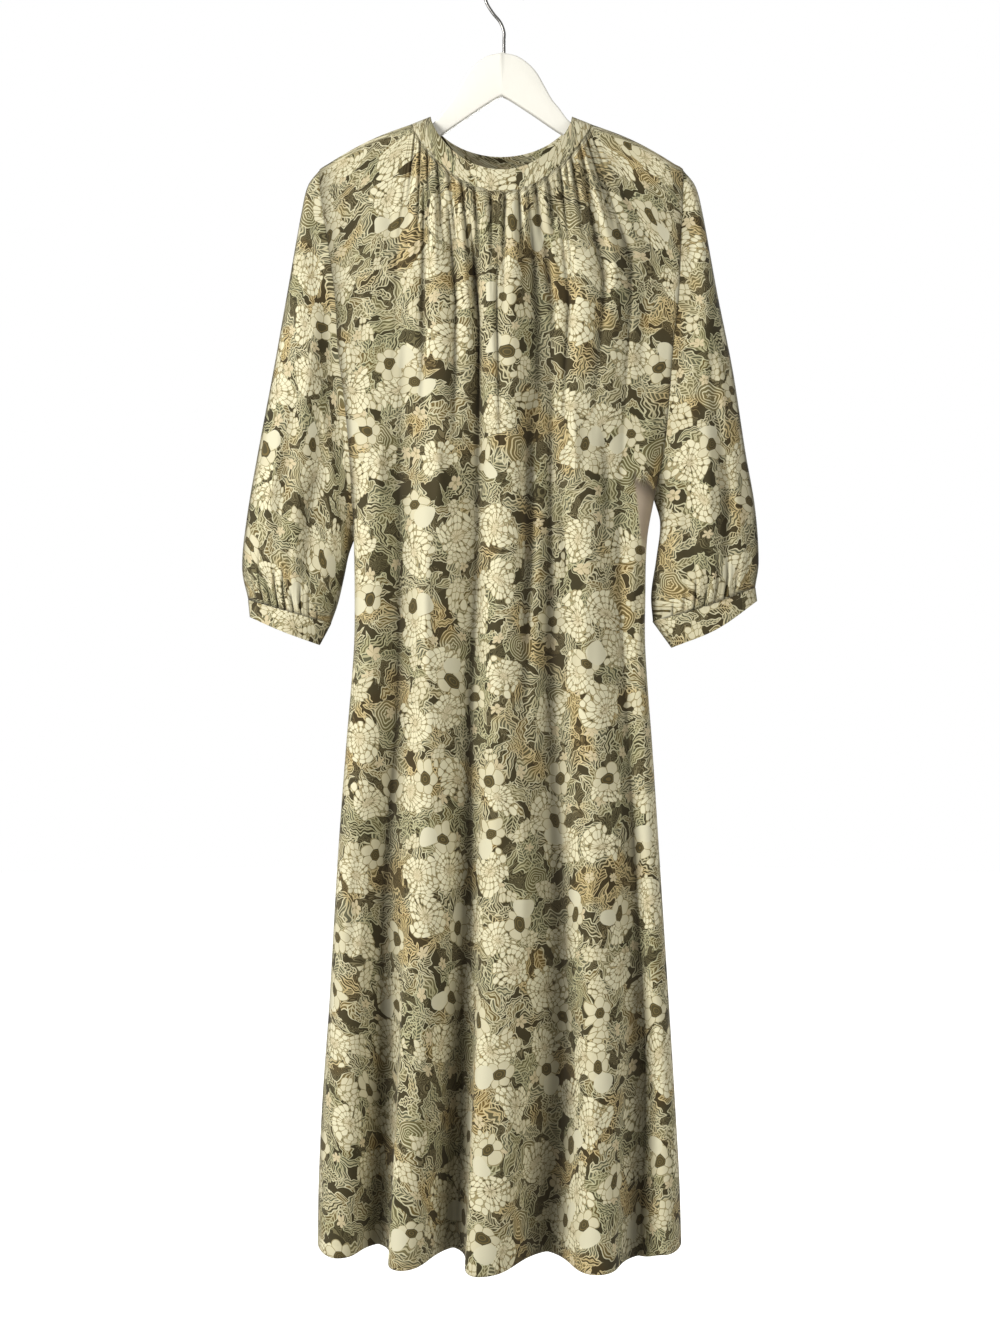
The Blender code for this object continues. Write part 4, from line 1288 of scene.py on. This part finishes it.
class DRESS_OT_cuffs(bpy.types.Operator):
    """Makes the doubled cuffs"""

    bl_idname = "dress.cuffs"
    bl_label = "Cuffs"

    def execute(self, context):
        cloth = context.scene.dress_cloth
        for sleeve in SLEEVES:
            columns, rows = 193, 11
            points = {}
            for c in range(columns):
                around = c / (columns - 1)
                face, s = face_of(around)
                seam, edge = along(sleeve.cuff_seam, s), along(sleeve.cuff_edge, s)
                half = math.sin(math.pi * s) ** SLEEVE_BLUNT if 0 < s < 1 else 0.0
                for r in range(rows):
                    down = mix(-0.02, 1, r / (rows - 1))
                    pucker = 0.25 * math.sin(2 * math.pi * around * sleeve.gathers * 2) * (1 - down) ** 2
                    depth = (sleeve_depth(1.0) - 1 + 0.6 * math.sin(math.pi * max(down, 0)) + pucker) * half
                    points[c, r] = (mix(seam.x, edge.x, down), (-1 if face == "front" else 1) * depth, mix(seam.drop, edge.drop, down))
            lean = math.radians(16 if sleeve.side == "left" else -18)
            flat = flattened(points, columns, rows, columns // 4, lean)
            shift = (4400.0, 60.0) if sleeve.side == "left" else (4900.0, 260.0)
            name = f"{sleeve.side}_cuff"
            piece = shell(name, f"cuff_{sleeve.side}", points, columns, rows, flat, cloth.band_thickness, cloth_materials(context)[:1], shift)
            soften(piece)
            declare(piece, flat, columns, rows)
        return {"FINISHED"}


def painted_wood(colour):
    """Satin white paint on beech: an even, slightly warm white whose low gloss shows soft highlights on its edges."""
    material, shader = new_material("satin_painted_beech")
    add = partial(add_node, material.node_tree)
    add("place", "TexCoord", {})
    add("scaled", "Mapping", {"Vector": "place.Object", "Scale": (60.0, 60.0, 9.0)})
    add("strokes", "TexNoise", {"Vector": "scaled", "Scale": 6.0, "Detail": 3.0})
    ramp = add("paint", "ValToRGB", {0: "strokes.Fac"}).color_ramp
    ramp.elements[0].position, ramp.elements[1].position = 0.3, 0.7
    ramp.elements[0].color = tuple(0.985 * c for c in colour[:3]) + (1.0,)
    ramp.elements[1].color = tuple(colour)
    add("bump", "Bump", {"Strength": 0.05, "Distance": 0.0003, "Height": "strokes.Fac"})
    tree = material.node_tree
    tree.links.new(tree.nodes["paint"].outputs[0], shader.inputs["Base Color"])
    tree.links.new(tree.nodes["bump"].outputs[0], shader.inputs["Normal"])
    shader.inputs["Roughness"].default_value = 0.38
    shader.inputs["Coat Weight"].default_value = 0.15
    shader.inputs["Coat Roughness"].default_value = 0.3
    return material


def steel_wire():
    """Bright drawn steel wire: a grey mirror softened by fine lines along it, darker where it reflects the room."""
    material, shader = new_material("drawn_steel_wire")
    add = partial(add_node, material.node_tree)
    add("place", "TexCoord", {})
    add("marks", "TexNoise", {"Vector": "place.Object", "Scale": 900.0, "Detail": 2.0})
    ramp = add("dulled", "ValToRGB", {0: "marks.Fac"}).color_ramp
    ramp.elements[0].color, ramp.elements[1].color = linear("#6E6C68"), linear("#A8A6A2")
    add("bump", "Bump", {"Strength": 0.06, "Distance": 0.0001, "Height": "marks.Fac"})
    tree = material.node_tree
    tree.links.new(tree.nodes["dulled"].outputs[0], shader.inputs["Base Color"])
    tree.links.new(tree.nodes["bump"].outputs[0], shader.inputs["Normal"])
    shader.inputs["Metallic"].default_value = 1.0
    shader.inputs["Roughness"].default_value = 0.28
    return material


class DRESS_OT_hanger(bpy.types.Operator):
    """Makes the arched hanger of white painted wood"""

    bl_idname = "dress.hanger"
    bl_label = "Hanger"

    def execute(self, context):
        sizes = context.scene.dress_hanger
        length = sum(math.dist(a, b) for a, b in zip(HANGER_OUTLINE, HANGER_OUTLINE[1:]))
        count = round(length / 4)
        right = [along(HANGER_OUTLINE, i / count) for i in range(count + 1)]
        outline = right + [Point(-p.x, p.drop) for p in reversed(right[1:-1])]
        mesh = bmesh.new()
        half = sizes.thickness / 2
        ring = [mesh.verts.new(((HANGER_MIDDLE + p.x) * MM, -half, -p.drop * MM)) for p in outline]
        front = mesh.faces.new(ring)
        made = bmesh.ops.extrude_face_region(mesh, geom=[front])["geom"]
        bmesh.ops.translate(mesh, verts=[v for v in made if isinstance(v, bmesh.types.BMVert)], vec=(0, 2 * half, 0))
        # The two arms are mitred at the middle, and each slopes back a little from the joint.
        for x in (-HANGER_SLOPE_REACH, 0, HANGER_SLOPE_REACH):
            everything = mesh.verts[:] + mesh.edges[:] + mesh.faces[:]
            plane = ((HANGER_MIDDLE + x) * MM, 0, 0)
            bmesh.ops.bisect_plane(mesh, geom=everything, plane_co=plane, plane_no=(1, 0, 0))
        bmesh.ops.recalc_face_normals(mesh, faces=mesh.faces)
        rim = [e for e in mesh.edges if e.calc_face_angle(0) > math.radians(60)]
        round_off = {"offset": sizes.edge_round, "offset_type": "OFFSET", "segments": 4}
        bmesh.ops.bevel(mesh, geom=rim, profile=0.5, affect="EDGES", material=-1, **round_off)
        for vertex in mesh.verts:
            out = min(abs(vertex.co.x / MM - HANGER_MIDDLE), HANGER_SLOPE_REACH)
            vertex.co.y += HANGER_SLOPE * (out - HANGER_SLOPE_REACH / 2) * MM
        for face in mesh.faces:
            face.smooth = True
        for edge in mesh.edges:
            edge.smooth = any(abs(v.co.x / MM - HANGER_MIDDLE) > 0.01 for v in edge.verts)
        data = bpy.data.meshes.new("hanger_board")
        mesh.to_mesh(data)
        mesh.free()
        data.materials.append(painted_wood(sizes.paint))
        piece = bpy.data.objects.new("hanger_board", data)
        context.scene.collection.objects.link(piece)
        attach(piece, "root")
        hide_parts("hanger")
        return {"FINISHED"}


class DRESS_OT_hook(bpy.types.Operator):
    """Makes the wire hook, screwed into the hanger's top"""

    bl_idname = "dress.hook"
    bl_label = "Hook"

    def execute(self, context):
        sizes = context.scene.dress_hanger
        radius = sizes.wire / 2
        middle = HOOK_RADIUS - radius / MM
        turns = [math.radians(mix(HOOK_START, HOOK_END, i / 60)) for i in range(61)]
        stem = [along(HOOK_STEM, i / 30) for i in range(31)]
        route = stem + [Point(HOOK_RADIUS * math.cos(a), middle - HOOK_RADIUS * math.sin(a)) for a in turns]
        wire = bpy.data.curves.new("hook_wire", "CURVE")
        wire.dimensions = "3D"
        wire.bevel_depth = radius
        wire.bevel_resolution = 6
        wire.use_fill_caps = True
        spline = wire.splines.new("POLY")
        spline.points.add(len(route) - 1)
        for point, place in zip(spline.points, route):
            point.co = (place.x * MM, 0, -place.drop * MM, 1)
        spline.use_smooth = True
        piece = bpy.data.objects.new("hook_wire", wire)
        wire.materials.append(steel_wire())
        context.scene.collection.objects.link(piece)
        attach(piece, "root")
        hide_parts("hook")
        return {"FINISHED"}


class DRESS_OT_stage(bpy.types.Operator):
    """Makes the plain floor and backdrop, the soft lights and the camera"""

    bl_idname = "dress.stage"
    bl_label = "Stage"

    def execute(self, context):
        scene, sizes = context.scene, context.scene.dress_studio
        mesh = bmesh.new()
        bmesh.ops.create_circle(mesh, cap_ends=True, segments=96, radius=sizes.floor_radius)
        bmesh.ops.translate(mesh, verts=mesh.verts, vec=(0, 0, sizes.floor_height))
        bmesh.ops.recalc_face_normals(mesh, faces=mesh.faces)
        data = bpy.data.meshes.new("studio_floor")
        mesh.to_mesh(data)
        mesh.free()
        paper = bpy.data.objects.new("studio_floor", data)
        scene.collection.objects.link(paper)
        # Seamless background paper: plain matt white, lit so evenly that it has no edge. Its own light is only seen
        # and lights nothing, and the room behind it is the same white.
        material, shader = new_material("seamless_paper")
        shader.inputs["Base Color"].default_value = linear("#B8B6B0")
        shader.inputs["Roughness"].default_value = 0.9
        shader.inputs["Emission Color"].default_value = linear("#FFFFFF")
        add_node(material.node_tree, "seen", "LightPath", {})
        material.node_tree.links.new(material.node_tree.nodes["seen"].outputs[0], shader.inputs["Emission Strength"])
        data.materials.append(material)
        scene.world = bpy.data.worlds.new("studio")
        scene.world.use_nodes = True
        tree = scene.world.node_tree
        room = tree.nodes["Background"]
        room.inputs["Color"].default_value = linear("#FFFFFF")
        add_node(tree, "seen", "LightPath", {})
        add_node(tree, "strength", "Mix", {0: "seen.Is Camera Ray", 2: sizes.room_light, 3: 1.0}, data_type="FLOAT")
        tree.links.new(tree.nodes["strength"].outputs[0], room.inputs["Strength"])
        for name, place, size, power in (
            ("key", (-2.2, -1.7, 0.1), 1.1, sizes.key_power),
            ("fill", (1.7, -1.9, -1.3), 1.6, sizes.fill_power),
            ("back", (0.9, 2.3, -0.2), 1.6, sizes.back_power),
        ):
            lamp = bpy.data.lights.new(name, "AREA")
            lamp.size = size
            lamp.energy = power
            light = bpy.data.objects.new(name, lamp)
            light.location = place
            light.rotation_euler = (Vector((0, 0, -0.75)) - Vector(place)).to_track_quat("-Z", "Y").to_euler()
            scene.collection.objects.link(light)
        lens = bpy.data.cameras.new("camera")
        lens.sensor_fit = "HORIZONTAL"
        lens.sensor_width = 36
        lens.lens = 36 * sizes.camera_distance / 1.12
        camera = bpy.data.objects.new("camera", lens)
        camera.location = (-0.0045, -sizes.camera_distance, -0.7766)
        camera.rotation_euler = (math.pi / 2, 0, 0)
        scene.collection.objects.link(camera)
        scene.camera = camera
        scene.view_settings.view_transform = "Standard"
        return {"FINISHED"}


def length_property(name, description, default):
    return bpy.props.FloatProperty(name=name, description=description, default=default, unit="LENGTH", precision=4)


class DressCloth(bpy.types.PropertyGroup):
    thickness: length_property("Cloth thickness", "Thickness of the cloth's wall", 0.0006)
    band_thickness: length_property("Band thickness", "Thickness of the doubled neckband and cuffs", 0.0016)
    gather_height: length_property("Gather height", "How far the gathers at the neck stand out", 0.0032)
    cuff_gather_height: length_property("Cuff gather height", "How far the gathers above the cuffs stand out", 0.0026)
    neck_fullness: bpy.props.FloatProperty(name="Neck fullness", description="Share of cloth taken up by the finest gathers at the neck", default=0.35)
    cuff_fullness: bpy.props.FloatProperty(name="Cuff fullness", description="Share of cloth taken up by the gathers at the cuffs", default=0.3)


class DressPrint(bpy.types.PropertyGroup):
    print_scale: bpy.props.FloatProperty(name="Print scale", description="Size of the print's motifs", default=0.8, subtype="FACTOR", min=0.5, max=2.0)
    wrong_side_fade: bpy.props.FloatProperty(name="Wrong side", description="How much paler the wrong side is", default=0.45, subtype="FACTOR", min=0.0, max=1.0)
    # Strength of the painted shade in the folds, along the seams and under the underarm's edge
    fold_shade: bpy.props.FloatProperty(name="Fold shade", description="How dark the cloth is deep in a fold", default=0.7, subtype="FACTOR", min=0.0, max=1.0)
    roughness: bpy.props.FloatProperty(name="Roughness", description="Roughness of the cloth", default=0.82, subtype="FACTOR", min=0.0, max=1.0)


class DressHanger(bpy.types.PropertyGroup):
    thickness: length_property("Board thickness", "Thickness of the hanger's board", 0.012)
    edge_round: length_property("Edge round", "Radius of the hanger's rounded edges", 0.0025)
    wire: length_property("Wire diameter", "Diameter of the hook's wire", 0.0036)
    paint: bpy.props.FloatVectorProperty(name="Paint", description="Colour of the hanger's paint", subtype="COLOR", size=4, min=0, max=1, default=linear("#FBF8EC"))


class DressStudio(bpy.types.PropertyGroup):
    floor_height: bpy.props.FloatProperty(name="Floor", description="Height of the floor", default=-1.75, unit="LENGTH")
    camera_distance: bpy.props.FloatProperty(name="Camera distance", description="From the camera to the dress", default=2.4, unit="LENGTH")
    room_light: bpy.props.FloatProperty(name="Room light", description="Brightness of the room", default=0.4)
    floor_radius: length_property("Floor radius", "Radius of the white floor", 8.0)
    key_power: bpy.props.FloatProperty(name="Key light", description="Power of the main light", default=80.0, unit="POWER")
    fill_power: bpy.props.FloatProperty(name="Fill light", description="Power of the second light", default=19.0, unit="POWER")
    back_power: bpy.props.FloatProperty(
        name="Back light", description="Power of the light behind", default=30.0, unit="POWER"
    )


OPERATORS = (
    DRESS_OT_panels,
    DRESS_OT_neckband,
    DRESS_OT_sleeves,
    DRESS_OT_cuffs,
    DRESS_OT_hanger,
    DRESS_OT_hook,
    DRESS_OT_stage,
)
SETTINGS = {"dress_cloth": DressCloth, "dress_print": DressPrint, "dress_hanger": DressHanger, "dress_studio": DressStudio}


class VIEW3D_PT_dress(bpy.types.Panel):
    """Lists the dress's sizes and pieces"""

    bl_label = "Dress"
    bl_space_type = "VIEW_3D"
    bl_region_type = "UI"
    bl_category = "Dress"

    def draw(self, context):
        for name, group in SETTINGS.items():
            box = self.layout.box()
            for setting in group.__annotations__:
                box.prop(getattr(context.scene, name), setting)
        for operator in OPERATORS:
            self.layout.operator(operator.bl_idname)


def register():
    for made in (*SETTINGS.values(), *OPERATORS, VIEW3D_PT_dress):
        bpy.utils.register_class(made)
    for name, group in SETTINGS.items():
        setattr(bpy.types.Scene, name, bpy.props.PointerProperty(type=group))


def unregister():
    for name in SETTINGS:
        delattr(bpy.types.Scene, name)
    for made in (VIEW3D_PT_dress, *reversed(OPERATORS), *reversed(SETTINGS.values())):
        bpy.utils.unregister_class(made)


def main():
    register()
    bpy.ops.dress.panels()
    bpy.ops.dress.neckband()
    bpy.ops.dress.sleeves()
    bpy.ops.dress.cuffs()
    bpy.ops.dress.hanger()
    bpy.ops.dress.hook()
    bpy.ops.dress.stage()


if __name__ == "__main__":
    main()
